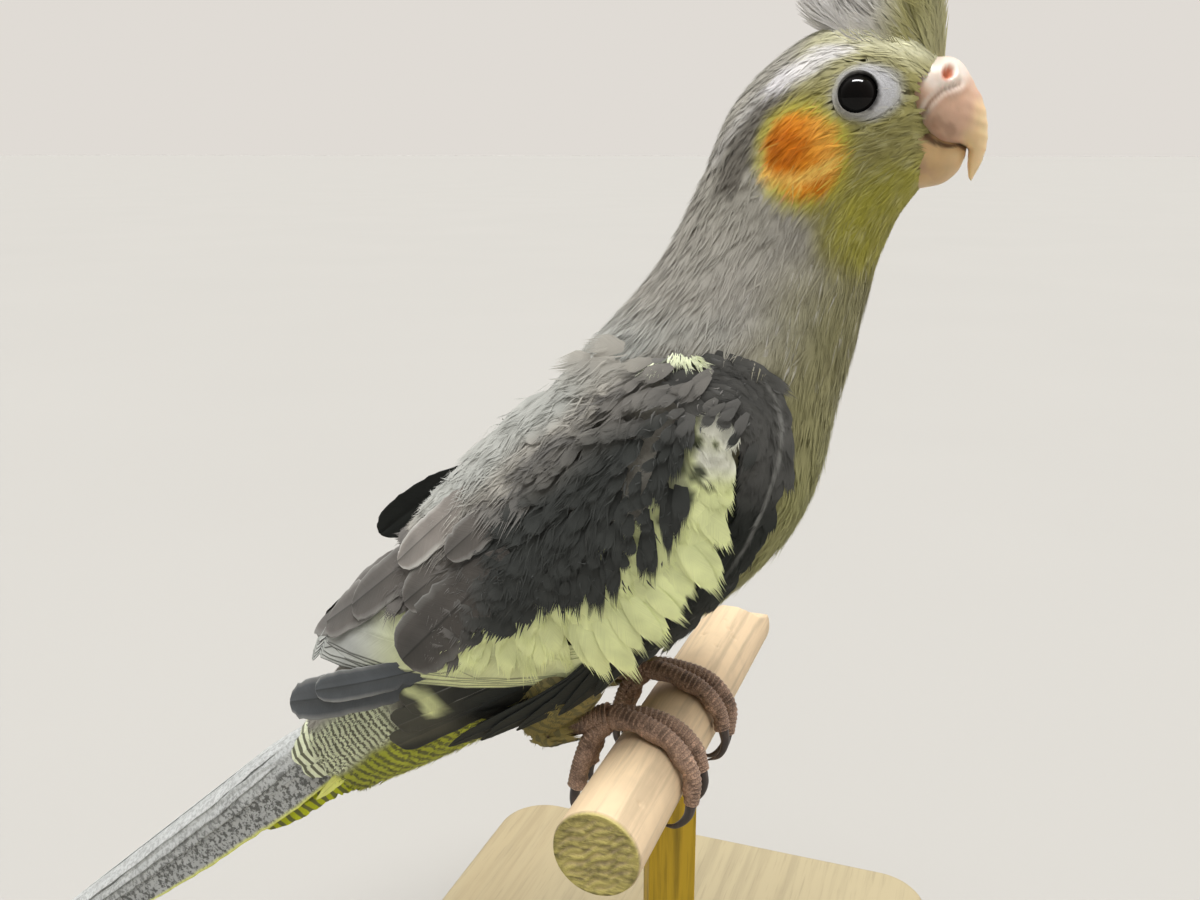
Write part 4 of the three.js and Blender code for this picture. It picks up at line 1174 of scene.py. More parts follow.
def wing_rise(x, z):
    """How far the wing's face stands off the shell, falling away at its front edge."""
    return 3.3 * smooth(far_from(WING_EDGE, x, z), 0.4, 7) + 0.3


def wing_path(points, lift, lean):
    """Lays a feather on the wing's face along places seen from the side. Past the front edge it stays flat."""
    points = spline(points, np.linspace(0, 1, max(len(points), 9)))
    t, angle = SHELL.find(points[:, 0], points[:, 1])
    held = np.minimum(angle, FLAT_FROM)
    sunk = SHELL.at(t, held)
    places = np.stack([points[:, 0], sunk[:, 1], points[:, 1]], -1)
    outward = SHELL.normal(t, held)
    outward = np.where((outward[:, 1] > 0)[:, None], -outward, outward)
    length = float(np.sum(np.linalg.norm(np.diff(places, axis=0), axis=1)))

    def place(s):
        out = unit(spline(outward, s))
        centre = spline(places, s) + out * mix(lift[0], lift[1], s)[:, None]
        side = unit(np.cross(np.gradient(centre, s, axis=0), out))
        return centre, unit(out - side * lean), unit(side + out * lean)

    return place, length


def flat_gap(x, z):
    """How far a flat feather past the wing's front edge stands off the shell."""
    t, angle = SHELL.find(x, z)
    gap = SHELL.at(t, angle)[..., 1] - SHELL.at(t, np.minimum(angle, FLAT_FROM))[..., 1]
    return np.clip(gap, 0, 4)


def edge_quill(edge, run, inset, width, profile, lift, rng, lean=0.05):
    """A long feather whose outer edge follows part of a line seen from the side."""
    s = np.linspace(0, 1, 15)
    line = spline(edge, mix(run[0], run[1], s))
    ahead = unit(np.gradient(line, axis=0))
    inward = np.stack([ahead[:, 1], -ahead[:, 0]], -1)
    half = np.interp(s, *PROFILES[profile]) * width / 2
    place, length = wing_path(line + inward * (half + inset)[:, None], lift, lean)
    return quill(place, length, width, profile, rng)


# Long feathers of the wing: kind, root, tip, width, lift at root and tip, profile and tone
WING_QUILLS = [
    (PRIMARY, (-6, 29), (-51.8, -1.2), 7.0, (0.9, 0.9), "square", 1.0),
    (PRIMARY, (-5, 33), (-50.0, 4.6), 7.0, (1.1, 1.2), "square", 0.9),
    (PRIMARY, (-4, 37), (-46.8, 10.4), 7.0, (1.3, 1.5), "square", 0.8),
    (INNER_PRIMARY, (-34, 22), (-78.8, 0.6), 9.0, (1.5, 2.0), "broad", 0.85),
    (INNER_PRIMARY, (-35, 23), (-69.4, 6.8), 6.4, (2.0, 2.5), "broad", 1.05),
    (TERTIAL, (-40, 41.6), (-75.3, 15.0), 13.4, (3.0, 3.0), "broad", 0.84),
    (TERTIAL, (-35.5, 44.4), (-68.2, 18.4), 11.0, (3.4, 3.5), "broad", 0.9),
    (TERTIAL, (-33, 47.4), (-58.6, 25.4), 10.5, (3.8, 4.0), "broad", 0.84),
    (TERTIAL, (-20, 46), (-43.4, 22.2), 12.5, (3.2, 4.4), "broad", 0.56),
    (TERTIAL, (-26, 48), (-42.4, 32.2), 9.6, (2.4, 4.6), "round", 0.84),
    (TERTIAL, (-21, 55), (-32.6, 42.8), 7.4, (2.8, 5.0), "round", 0.86),
    (TERTIAL, (-28, 55), (-44.6, 37.6), 9.2, (3.4, 5.2), "round", 1.75),
]


def flight_feathers(rng):
    """Primaries, secondaries and tertials from the lowest up."""
    def listed(quills):
        for kind, root, tip, width, lift, profile, tone in quills:
            place, length = wing_path([root, tip], lift, 0.05)
            yield labelled(quill(place, length, width, profile, rng), kind=kind, tone=tone)

    rows = list(listed(WING_QUILLS[:5]))
    for k in range(9):
        share = k / 8
        run = (mix(0.0, 0.36, share), mix(0.5, 0.99, share))
        lot = edge_quill(LEADING_EDGE, run, 0.5 - 0.5 * share, 7.0, "sharp", (0.2, 1.0 + 0.12 * k), rng)
        rows.append(labelled(lot, kind=PRIMARY, tone=1.0))
    for k in range(6):
        run, inset = (0.015 * k, 0.975 - 0.012 * k), 0.55 * k + 0.2 * rng.random()
        lift = (1.9 + 0.12 * k, 2.0 + 0.12 * k)
        lot = edge_quill(SECONDARY_EDGE, run, inset, 10 + 0.5 * k, "round", lift, rng, 0.02)
        rows.append(labelled(lot, kind=SECONDARY, tone=1.0))
    return rows + list(listed(WING_QUILLS[5:]))


def shoal(x, z, way, length, width, lift, rng, kind, **shape):
    """Loose coverts from roots seen from the side, each along its own way in that view."""
    tip_x, tip_z = x + np.cos(way) * length, z + np.sin(way) * length
    t, angle, t_rate, a_rate = aimed(SHELL, x, z, tip_x, tip_z)
    lot = blades(SHELL, t, angle, (t_rate, a_rate), length, width, lift, rng, **shape)
    return labelled(lot, kind=kind, tone=1.0)


def scattered(outline, pitch, rng):
    """Roots spread over an outline seen from the side."""
    jitter = 0.42
    low, high = np.min(outline, 0), np.max(outline, 0)
    x, z = np.mgrid[low[0]:high[0]:pitch, low[1]:high[1]:pitch * 0.87]
    x = x + (np.arange(x.shape[1]) % 2) * pitch / 2
    x = x.reshape(-1) + rng.uniform(-jitter, jitter, x.size) * pitch
    z = z.reshape(-1) + rng.uniform(-jitter, jitter, z.size) * pitch
    kept = inside(outline, x, z)
    return x[kept], z[kept]


def white_coverts(rng):
    """The white greater coverts, in tiers that follow the patch."""
    groups = 30
    tier = np.tile([0.0, 0.33, 0.66], groups)
    count = len(tier)
    share = np.clip(np.repeat(np.linspace(0, 1, groups), 3) + rng.uniform(-0.016, 0.016, count), 0, 1)
    roots, tips = spline(WHITE_ROOTS, share), spline(WHITE_TIPS, share)
    reach = tips - roots
    start = roots + reach * (tier * 0.8 - 0.3)[:, None] + rng.normal(0, 0.5, roots.shape)
    long = np.hypot(*reach.T) * 0.7 * rng.uniform(0.9, 1.12, count)
    way = np.arctan2(reach[:, 1], reach[:, 0]) + rng.normal(0, 0.1, count) + 0.10
    rise = wing_rise(*start.T) * 0.72
    ends = start + np.stack([np.cos(way), np.sin(way)], -1) * long[:, None]
    at_tip = rise + 0.2 * tier + mix(0.3, 0.9, smooth(share, 0.3, 0.6)) + flat_gap(*ends.T)
    lift = (rise - 0.9 + flat_gap(*start.T), at_tip)
    rows = (0, 0.14, 0.27, 0.4, 0.52, 0.64, 0.75, 0.84)
    width = rng.uniform(3.3, 4.9, count)
    return shoal(*start.T, way, long, width, lift, rng, WHITE, strips=14, rows=rows, ragged=0.5, curl=0.15)


def white_points(rng):
    """Pointed white feathers that splay over the primaries along the patch's lower edge."""
    count = 7
    for root, tip in WHITE_POINTS:
        roots = np.array([root]) + rng.normal(0, 0.5, (count, 2))
        reach = np.array([tip]) - roots
        way = np.arctan2(reach[:, 1], reach[:, 0]) + rng.normal(0, 0.09, count)
        long = np.hypot(*reach.T) * rng.uniform(0.75, 1.05, count)
        width = rng.uniform(1.2, 2.4, count)
        yield shoal(*roots.T, way, long, width, (2.2, 3.9), rng, WHITE, strips=5, rows=(0, 0.3, 0.5), ragged=0.4)


def covert_lean(x, z):
    """How far the dark coverts lean back from straight down."""
    return mix(0.85, 0.14, smooth(far_from(BACK_EDGE, x, z), 1, 22)) + mix(0.0, 0.22, smooth(-x, 4, 34))


def dark_coverts(rng):
    """Dark coverts, largest behind, in two layers."""
    for pitch, size, over in ((4.2, 1.0, 0.0), (3.2, 0.66, 0.3)):
        x, z = scattered(DARK_FIELD, pitch, rng)
        to_finger = far_from(FINGERS, x, z)
        # they stop short of the line of the fingers, so that white peaks show between those
        margin = mix(1.2, 4.6, smooth(x, -17, -9)) * (1 - 0.85 * smooth(z, 51, 58))
        kept = (to_finger > margin + 0.8) & ((x > -37) | (z > 34))
        x, z, room = x[kept], z[kept], (to_finger - margin)[kept]
        back = far_from(BACK_EDGE, x, z)
        count = len(x)
        way = DOWN - covert_lean(x, z) + rng.normal(0, 0.14, count)
        long = size * mix(8.0, 14.0, smooth(back, 2, 20)) * mix(0.75, 1.0, smooth(12 - x, -4, 12))
        long = long * rng.uniform(0.85, 1.15, count)
        long = np.where(room < long, np.maximum(room, 3.6) * rng.uniform(0.85, 1.1, count), long)
        width = size ** 0.5 * mix(4.0, 6.0, smooth(-x, -14, 26)) * np.clip(long / 9, 0.55, 1)
        width = width * rng.uniform(0.8, 1.15, count)
        ends = wing_rise(x + np.cos(way) * long, z + np.sin(way) * long) + over + rng.uniform(0, 0.3, count)
        lift = (np.maximum(ends - np.minimum(0.2 * long, 1.8), 0.1), ends)
        rows = (0, 0.3, 0.55, 0.72)
        yield shoal(x, z, way, long, width, lift, rng, DARK, strips=12, rows=rows, ragged=0.5, curl=0.5)


def fingers(rng):
    """Groups of narrow dark feathers that hang over the white patch."""
    ends = np.repeat(np.array(FINGER_TIPS, float), 4, axis=0)
    groups, count = len(FINGER_TIPS), len(ends)
    narrow, slim = smooth(ends[:, 0], -15, -8), smooth(ends[:, 0], -5, 0)
    place = np.tile([-1.3, -0.3, 0.5, 1.2], groups) * mix(2.2, 0.7, narrow) * mix(1, 0.5, slim)
    place = place + rng.uniform(-0.2, 0.2, count)
    back = np.tile([2.2, 0.0, 0.8, 3.0], groups) * mix(0.4, 1.0, narrow) + rng.uniform(-0.4, 0.6, count)
    lean = mix(0.10, 0.55, smooth(-ends[:, 0], 2, 34)) * np.where(ends[:, 0] > 8, 0.3, 1)
    hang = np.stack([-np.sin(lean), -np.cos(lean)], -1)
    ends = ends + hang[:, ::-1] * (-1, 1) * place[:, None] - hang * back[:, None]
    long = np.minimum(rng.uniform(10, 13, count) - back, 0.34 * (84 - ends[:, 1]) + 1.5)
    roots = ends - hang * long[:, None]
    rise = wing_rise(*ends.T)
    width = mix(5.0, 2.6, narrow) * mix(1, 0.8, slim) * rng.uniform(0.85, 1.15, count)
    lift = (np.maximum(rise - np.minimum(0.2 * long, 1.6), 0.1), rise + 0.5)
    way = DOWN - lean + rng.normal(0, 0.06, count)
    rows = (0, 0.3, 0.6, 0.78)
    return shoal(*roots.T, way, long, width, lift, rng, DARK, strips=9, rows=rows, ragged=0.6, curl=0.4)


def loose_barbs(field, pitch, lean, room, proud, kind, rng):
    """Fine barbs that stand loose over the feathers of a field."""
    x, z = scattered(field, pitch, rng)
    count = len(x)
    way = DOWN - lean(x, z) + rng.normal(0, 0.22, count)
    long = np.minimum(rng.uniform(3.5, 6.5, count), room(x, z))
    rise = wing_rise(x, z)
    width, lift = rng.uniform(0.22, 0.42, count), (rise - 0.2, rise + proud)
    lot = shoal(x, z, way, long, width, lift, rng, kind, strips=1, rows=(0, 0.5), ragged=0.0, curl=6)
    lot["tone"] = 1 + own_tones(lot, 0.04, 0.08, rng)
    return lot


def edge_coverts(rng):
    """Small feathers of the leading edge, running along it in four rows."""
    steps, rows = 120, [0.9, 2.2, 3.7, 5.3]
    count = steps * len(rows)
    share = np.repeat(np.linspace(0.06, 0.98, steps), len(rows)) + rng.uniform(-0.008, 0.008, count)
    band = np.tile(rows, steps) + rng.uniform(-0.9, 0.9, count)
    line = spline(WING_EDGE, share + rng.uniform(-0.004, 0.004, count))
    along = spline(WING_EDGE, np.minimum(share + 0.02, 1)) - spline(WING_EDGE, share - 0.02)
    along = along / np.hypot(*along.T)[:, None]
    inward = np.stack([along[:, 1], -along[:, 0]], -1)
    root = line + inward * (band * mix(1.0, 0.62, share) * mix(1.0, 0.75, smooth(share, 0.35, 0.5)))[:, None]
    way = np.arctan2(along[:, 1], along[:, 0]) + rng.normal(0, 0.12, count) - 0.1
    long = rng.uniform(4.5, 9.5, count)
    start = root - along * long[:, None] * 0.5
    ends = start + along * long[:, None]
    held = mix(1.0, 0.45, smooth(share, 0.5, 0.68))
    low, high = (wing_rise(*spot.T) * held + 0.5 * flat_gap(*spot.T) for spot in (start, ends))
    width = rng.uniform(1.8, 3.4, count)
    lift = (low - 0.5, high + rng.uniform(-0.05, 0.15, count))
    rows = (0, 0.35, 0.6, 0.78)
    return shoal(*start.T, way, long, width, lift, rng, EDGE, strips=8, rows=rows, ragged=0.6)


def scapular_lean(x, z):
    """The same for the feathers over the wing's root."""
    return mix(0.95, 0.6, smooth(-x, 0, 30))


def scapulars(rng):
    """Feathers over the wing's root."""
    x, z = scattered(SCAPULAR_FIELD, 3.1, rng)
    x, z = x[x > -36], z[x > -36]
    count = len(x)
    way = DOWN - scapular_lean(x, z) + rng.normal(0, 0.15, count)
    long = mix(7.5, 13.0, smooth(-x, -2, 26)) * rng.uniform(0.85, 1.15, count)
    rise = wing_rise(x, z) * 0.9
    ends = wing_rise(x + np.cos(way) * long, z + np.sin(way) * long)
    width = mix(4.4, 7.0, smooth(-x, -2, 26))
    lift = (np.minimum(rise - 0.6, ends), ends + rng.uniform(0.4, 0.8, count))
    rows = (0, 0.3, 0.55)
    return shoal(x, z, way, long, width, lift, rng, SCAPULAR, strips=13, rows=rows, ragged=0.3, curl=0.4)


def wing_coverts(rng):
    """All loose feathers of a wing from the lowest up; the last three lots are its shoulder."""
    def to_fingers(x, z):
        return np.maximum(far_from(FINGERS, x, z) - 5, 0.8)

    return [
        white_coverts(rng), *white_points(rng), *dark_coverts(rng), fingers(rng),
        loose_barbs(DARK_FIELD, 2.1, covert_lean, to_fingers, 0.6, DARK, rng),
        edge_coverts(rng), scapulars(rng),
        loose_barbs(SCAPULAR_FIELD, 2.0, scapular_lean, lambda x, z: math.inf, 0.8, SCAPULAR, rng),
    ]


def wing_colour(lot, rng):
    """Markings of the wing by kind of feather and by place."""
    hues = bpy.context.scene.plumage
    places = lot["corners"]
    x, z = places[:, 0], places[:, 2]
    kind, share, across = lot["kind"], lot["share"], lot["across"]
    base = {
        INNER_PRIMARY: hues.blue_grey, SECONDARY: hues.secondary, TERTIAL: hues.tertial, RAISED: hues.wing_dark,
        WHITE: hues.wing_white, DARK: hues.wing_lesser, SCAPULAR: hues.scapular,
    }
    paint = Paint(hues.wing_edge, len(kind))
    for which, hue in base.items():
        paint.colours[kind == which] = linear(hue)
    own = own_tones(lot, 0, 1, rng)
    large = wobble(places, 9, 3.0)
    # dark coverts: dusky at the shoulder, nearly black in the middle, browner behind
    dark = kind == DARK
    middle = 0.93 * smooth(79.5 - z + 2.5 * large + 1.2 * own, 0, 13) * smooth(x + 3 * large, -38, -24)
    paint(hues.wing_dark, 0.95 * middle * dark)
    paint(hues.tertial, 0.6 * smooth(-x, 24, 40) * dark)
    paint(hues.scapular, 0.55 * (1 - smooth(far_from(BACK_EDGE, x, z) + 1.5 * large, 2, 9)) * dark)
    webs = np.isin(kind, (DARK, SCAPULAR)) * (lot["tone"] == 1)
    paint(hues.scapular, 0.16 * smooth(np.abs(across) + share, 1.5, 1.95) * webs)
    above = smooth(over_back(x, z) + 1.5 * large + 0.8 * own, -1.5, 2.5)
    paint(hues.mantle, above * np.isin(kind, (SCAPULAR, DARK)))
    pale = smooth(over_back(x, z) + large, 1, 5) * (1 - smooth(z, 72, 82))
    paint(hues.secondary, 0.8 * pale * np.isin(kind, (SCAPULAR, DARK)))
    paint(hues.wing_lesser, 0.8 * (1 - above) * smooth(x, -34, -20) * (kind == SCAPULAR))
    # the leading edge darkens downwards
    shoulder = smooth(z + 2 * large, 52, 68) * (kind == EDGE)
    paint(hues.wing_lesser, 0.6 * shoulder)
    front = smooth(x - 0.45 * (z - 60), 15, 21)
    paint(hues.wing_edge, 0.45 * front * dark * (1 - smooth(z, 66, 78)))
    # the white patch, with dusky blotches and a painted highlight high up
    white = kind == WHITE
    blotch = np.zeros(len(x))
    for spot_x, spot_z, size in WHITE_BLOTS:
        away = np.hypot(x - spot_x, z - spot_z) / size + 0.3 * wobble(places, 1.3, 5.0)
        blotch = np.maximum(blotch, 1 - smooth(away, 0.55, 1.2))
    paint(hues.wing_lesser, 0.65 * smooth(11.8 - x, 0, 2.5) * smooth(z, 57, 61) * white)
    paint(hues.wing_dark, 0.95 * blotch * white)
    # painted highlight: the upper end of the white patch is painted nearly white
    paint(hues.stripe, 0.7 * smooth(z, 61, 66) * (1 - blotch) * smooth(x, 10.5, 12.5) * white)
    paint(hues.wing_shade, 0.22 * smooth(wobble(places, 3.2, 2.0), 0.0, 0.7) * white)
    # edges, shafts and inner webs of the long feathers, and a painted shadow along the secondaries' edges
    edge = smooth(np.abs(across), 0.86, 0.98)
    rounded = np.isin(kind, (TERTIAL, INNER_PRIMARY))
    paint(hues.wing_dark, 0.35 * (1 - smooth(np.abs(across), 0.2, 0.9)) * smooth(share, 0.5, 0.9) * rounded)
    paint(hues.pale_edge, 0.55 * edge * rounded * smooth(share, 0.3, 0.6))
    paint(hues.wing_white, 0.85 * smooth(x, -60, -40) * (kind == SECONDARY))
    # painted shadow: a thin dark line along one edge of each secondary, where it stands over the next feather
    paint(hues.wing_edge, 0.8 * smooth(-across, 0.94, 1.0) * (kind == SECONDARY) * smooth(share, 0.05, 0.2))
    shaft = np.abs(across) < 0.02
    paint(hues.wing_edge, 0.6 * shaft * rounded)
    paint(hues.pale_edge, 0.5 * shaft * (kind == PRIMARY) * (x < -28) * (lot["tone"] < 1))
    block = (kind == PRIMARY) * (lot["tone"] < 1.01) * smooth(-x, 34, 42) * smooth(z - 0.5 * (x + 40), 2.5, 4.5)
    paint(hues.primary_brown, 0.8 * block)
    spot = within(PALE_SPOT, x + 0.4 * own, z, -0.7, 0.7)
    paint(hues.wing_white, spot * (kind == PRIMARY))
    # a thin pale line where the wing meets the breast
    away = far_from(WING_EDGE, x, z)
    line = (1 - smooth(np.abs(away - 0.1), 0.05, 0.3)) * smooth(z, 40, 52) * (1 - smooth(z, 76, 81))
    paint(hues.pale_edge, 0.3 * line * np.isin(kind, (EDGE, PRIMARY)))
    tone = lot["tone"] * (1 + 0.035 * own) * mix(0.94, 1.03, smooth(share, 0.2, 0.95))
    return paint.colours * tone[:, None] * (1 + 0.10 * wobble(places, 3.0, 1.0))[:, None]


class COCKATIEL_OT_wings(bpy.types.Operator):
    """Folded wings: flight feathers under tiers of coverts and scapulars"""

    bl_idname = "cockatiel.wings"
    bl_label = "Wings"

    def execute(self, context):
        hues = context.scene.plumage
        finish = plumage_material("wing_plumage", roughness=0.62, slant=0.9, pitch=0.36, contrast=0.16, relief=0.5)
        loose = plumage_material("covert_plumage", roughness=0.7, slant=1.6, pitch=0.3, contrast=0.16, relief=0.35)
        for side, name in ((1, "right"), (-1, "left")):
            rng = np.random.default_rng(SEED + 40)
            rows = flight_feathers(rng)
            if side < 0:
                rows.append(labelled(self.raised(rng), kind=RAISED, tone=0.8))
            lot = laid_out(rows)
            colours = wing_colour(lot, rng)
            if side < 0:
                lot = mirrored(lot, True)
            thicken(coat_piece(f"wing_{name}_quills", lot, colours, finish, (f"wing_{name}",)))
            lots = wing_coverts(rng)
            tuft = self.tuft(rng)
            for part, chosen in (("coverts", lots[:-3]), ("shoulder", lots[-3:])):
                lot = gather(chosen)
                colours = wing_colour(lot, rng)
                if side < 0:
                    lot = mirrored(lot)
                coat_piece(f"wing_{name}_{part}", lot, colours, loose)
            paint = Paint(hues.tail_covert, len(tuft["corners"]))
            paint(hues.wing_edge, 0.85 * (tuft["feather"] % 5 > 1) * (tuft["corners"][:, 0] < 6.4))
            if side < 0:
                tuft = mirrored(tuft)
            coat_piece(f"wing_{name}_tuft", tuft, paint.colours, loose)
        return {"FINISHED"}

    def raised(self, rng):
        """A broad feather of the left wing that stands up behind the back."""
        root, tip = np.array([-44, -9.0, 51.0]), np.array([-68.4, -9.0, 33.6])
        out = unit(np.array([-0.25, -0.95, 0.2]))

        def place(s):
            centre = mix(root, tip, s[:, None]) + np.array([0, -1.2, 1.0]) * np.sin(math.pi * s)[:, None]
            side = unit(np.cross(np.gradient(centre, s, axis=0), out))
            return centre, np.broadcast_to(out, centre.shape), side

        return quill(place, 30.0, 8.6, "round", rng)

    def tuft(self, rng):
        """A pale tuft with dark hairs at the top of the shoulder."""
        count = TUFT_HAIRS
        share = rng.uniform(0, 1, count)
        x = mix(3.0, 11.4, share)
        z = 82.6 - 1.4 * (share - 0.5) ** 2 - 1.2 * (share < 0.3) + rng.uniform(-0.5, 0.5, count)
        way = -0.75 + mix(-1.1, 0.5, share) + rng.normal(0, 0.25, count)
        lift = (0.6, wing_rise(x, z - 2.5) + 1.0)
        long, width = rng.uniform(1.6, 3.0, count), np.full(count, 0.34)
        return shoal(x, z, way, long, width, lift, rng, WHITE, strips=2, rows=(0, 0.5), ragged=0.4)


# Tail

def tail_place(along, across, deep):
    """Places on the closed tail, an upside-down U: along it, across it and in from its face."""
    along, across, deep = np.broadcast_arrays(*(np.asarray(v, float) for v in (along, across, deep)))
    half = TAIL_HALF * mix(1, 0.72, along / TAIL_LENGTH)
    arc = half * math.pi / 2
    turn = np.minimum(np.abs(across), arc) / half
    leg = np.maximum(np.abs(across) - arc, 0)
    inner = np.maximum(half - deep, 0.4)
    place = TAIL_ROOT + TAIL_WAY * along[..., None] + TAIL_UP * (inner * np.cos(turn) - half - leg)[..., None]
    place[..., 1] = -np.sign(across) * inner * np.sin(turn)
    return place


def tail_quill(start, end, across, deep, width, profile, rng, waver, splits=0):
    first, last = across if isinstance(across, tuple) else (across, across)

    def place(s):
        along, off = mix(start, end, s), mix(first, last, s)
        sunk = mix(deep[0], deep[1], smooth(s, 0, 22 / (end - start)))
        centre = tail_place(along, off, sunk)
        out = unit(tail_place(along, off, sunk - 1) - centre)
        return centre, out, unit(np.cross(np.broadcast_to(TAIL_WAY, out.shape), out))

    camber = mix(8.0, 40.0, smooth(abs(first + last) / 2, 8, 13))
    return quill(place, end - start, width, profile, rng, 40, splits, waver, camber)


class COCKATIEL_OT_tail(bpy.types.Operator):
    """Twelve long tail feathers in a closed fan, with the coverts over and under their roots"""

    bl_idname = "cockatiel.tail"
    bl_label = "Tail"

    def execute(self, context):
        hues = context.scene.plumage
        rng = np.random.default_rng(SEED + 60)
        finish = plumage_material("tail_plumage", roughness=0.66, slant=0.8, pitch=0.36, contrast=0.12, relief=0.4)
        lots = []
        for pair in range(6):
            for side in (1, -1):
                lower = 1 if pair == 0 and side < 0 else 0
                deep = 0.12 * (pair + lower + (pair > 0))
                across = (side * (2.4 + 2.75 * pair), side * (2.4 + 2.05 * pair))
                start, end = 6 - 2.4 * pair, TAIL_LENGTH * (1 - 0.055 * pair)
                lot = tail_quill(start, end, across, (deep + 1.5, deep), 7.6, "long", rng, 0.03, 2)
                lots.append(labelled(lot, outer=pair / 5, flank=float(side)))
        lot = laid_out(lots)
        paint = Paint(hues.tail_grey, len(lot["share"]))
        outward = -lot["across"] * lot["flank"]
        down = tail_depth(lot["corners"])
        # painted shade: the tail is painted darker towards its lower edge, and the same mask makes its mottling denser
        # there
        shade = smooth(down + 1.2 * wobble(lot["corners"], 9), 3, 9)
        yellow = smooth(lot["outer"], 0.85, 0.95) * smooth(outward, 0.72, 0.84)
        paint(hues.tail_yellow, yellow)
        paint(hues.mottle_dark, 0.25 * (np.abs(lot["across"]) < 0.02))
        edge = smooth(np.abs(lot["across"]), 0.9, 1.0) * (1 - yellow)
        paint(hues.mottle_dark, 0.15 * edge)
        mottle = mix(0.35, 0.95, shade) * (1 - 0.9 * yellow)
        colours = paint.colours * mix(1.0, 0.82, shade * (1 - yellow))[:, None]
        thicken(coat_piece("tail_feathers", lot, colours, finish, ("tail",), mottle=mottle))
        self.coverts(hues, rng)
        return {"FINISHED"}

    def coverts(self, hues, rng):
        """Barred coverts over the tail's root, and long olive ones under it."""
        finish = plumage_material("tail_covert_plumage", 0.72, slant=1.3, pitch=0.32, contrast=0.2, relief=0.5)
        tiers = [
            # the tier's first and last place across, its pitch, its start, its end in the middle and at the sides
            ((-16.6, 16.6), 3.4, -22, -4, 4),
            ((-16.8, 16.8), 3.4, -15, 2, 9.5),
            ((-15.6, 15.6), 3.6, -8, 8, 15.5),
        ]
        lots = []
        for tier, ((low, high), gap, start, top_end, side_end) in enumerate(tiers):
            for across in np.arange(low + gap / 2 * (tier % 2), high + 0.1, gap):
                off = abs(across)
                end = mix(top_end, side_end, smooth(off, 3, 11)) - 1.1 * max(off - 13, 0) + rng.normal(0, 0.8)
                deep = (2.6 - 0.5 * tier, -1.4 + 0.4 * tier)
                lot = tail_quill(start, end, across, deep, 7.4, "round", rng, 0.04, 1)
                lots.append(labelled(lot, under=0.0, where=off))
        for tier, (start, end) in enumerate(((-28, 2), (-18, 12), (-10, 21), (-2, 29), (4, 37))):
            for flank in (1, -1):
                for across in np.arange(16.5 + 0.8 * (tier % 2), 23.8 - 0.9 * tier, 2.4):
                    stop = end - 0.15 * (across - 19) ** 2 + rng.normal(0, 1.2)
                    run = (flank * (across + 0.6), flank * mix(across, 18.6, 0.45 + 0.1 * tier))
                    lot = tail_quill(start, stop, run, (3.4, 2.3 - 0.1 * tier), 4.8, "sharp", rng, 0.06, 2)
                    lots.append(labelled(lot, under=1.0, where=across))
        # yellow points between the barred sides and the olive feathers under the tail
        for flank in (1, -1):
            for stop, low in ((6.0, 17.8), (12.0, 18.6), (16.5, 19.6)):
                lot = tail_quill(-16, stop, (flank * 17.2, flank * low), (0.4, -0.9), 2.8, "sharp", rng, 0.04)
                lots.append(labelled(lot, under=2.0, where=16.0))
        lot = laid_out(lots)
        paint = Paint(hues.tail_covert, len(lot["where"]))
        top = (1 - smooth(lot["where"], 3, 7)) * (lot["under"] == 0)
        paint(hues.mantle, 0.7 * top)
        under = np.minimum(lot["under"], 1)
        paint(hues.undertail, under)
        yellow = np.maximum(lot["under"] - 1, 0)
        paint(hues.tail_yellow, yellow)
        tone = 1 + own_tones(lot, 0, 0.05, rng)
        bars = (0.92 - 0.5 * top - 0.08 * under) * (1 - yellow)
        pitch, run = np.where(under > 0.5, 3.0, 2.0), along_tail(lot["corners"])
        colours = paint.colours * tone[:, None]
        coat_piece("tail_coverts", lot, colours, finish, bars=bars, pitch=pitch, run=run)


# Crest

CROWN_WISPS = 44


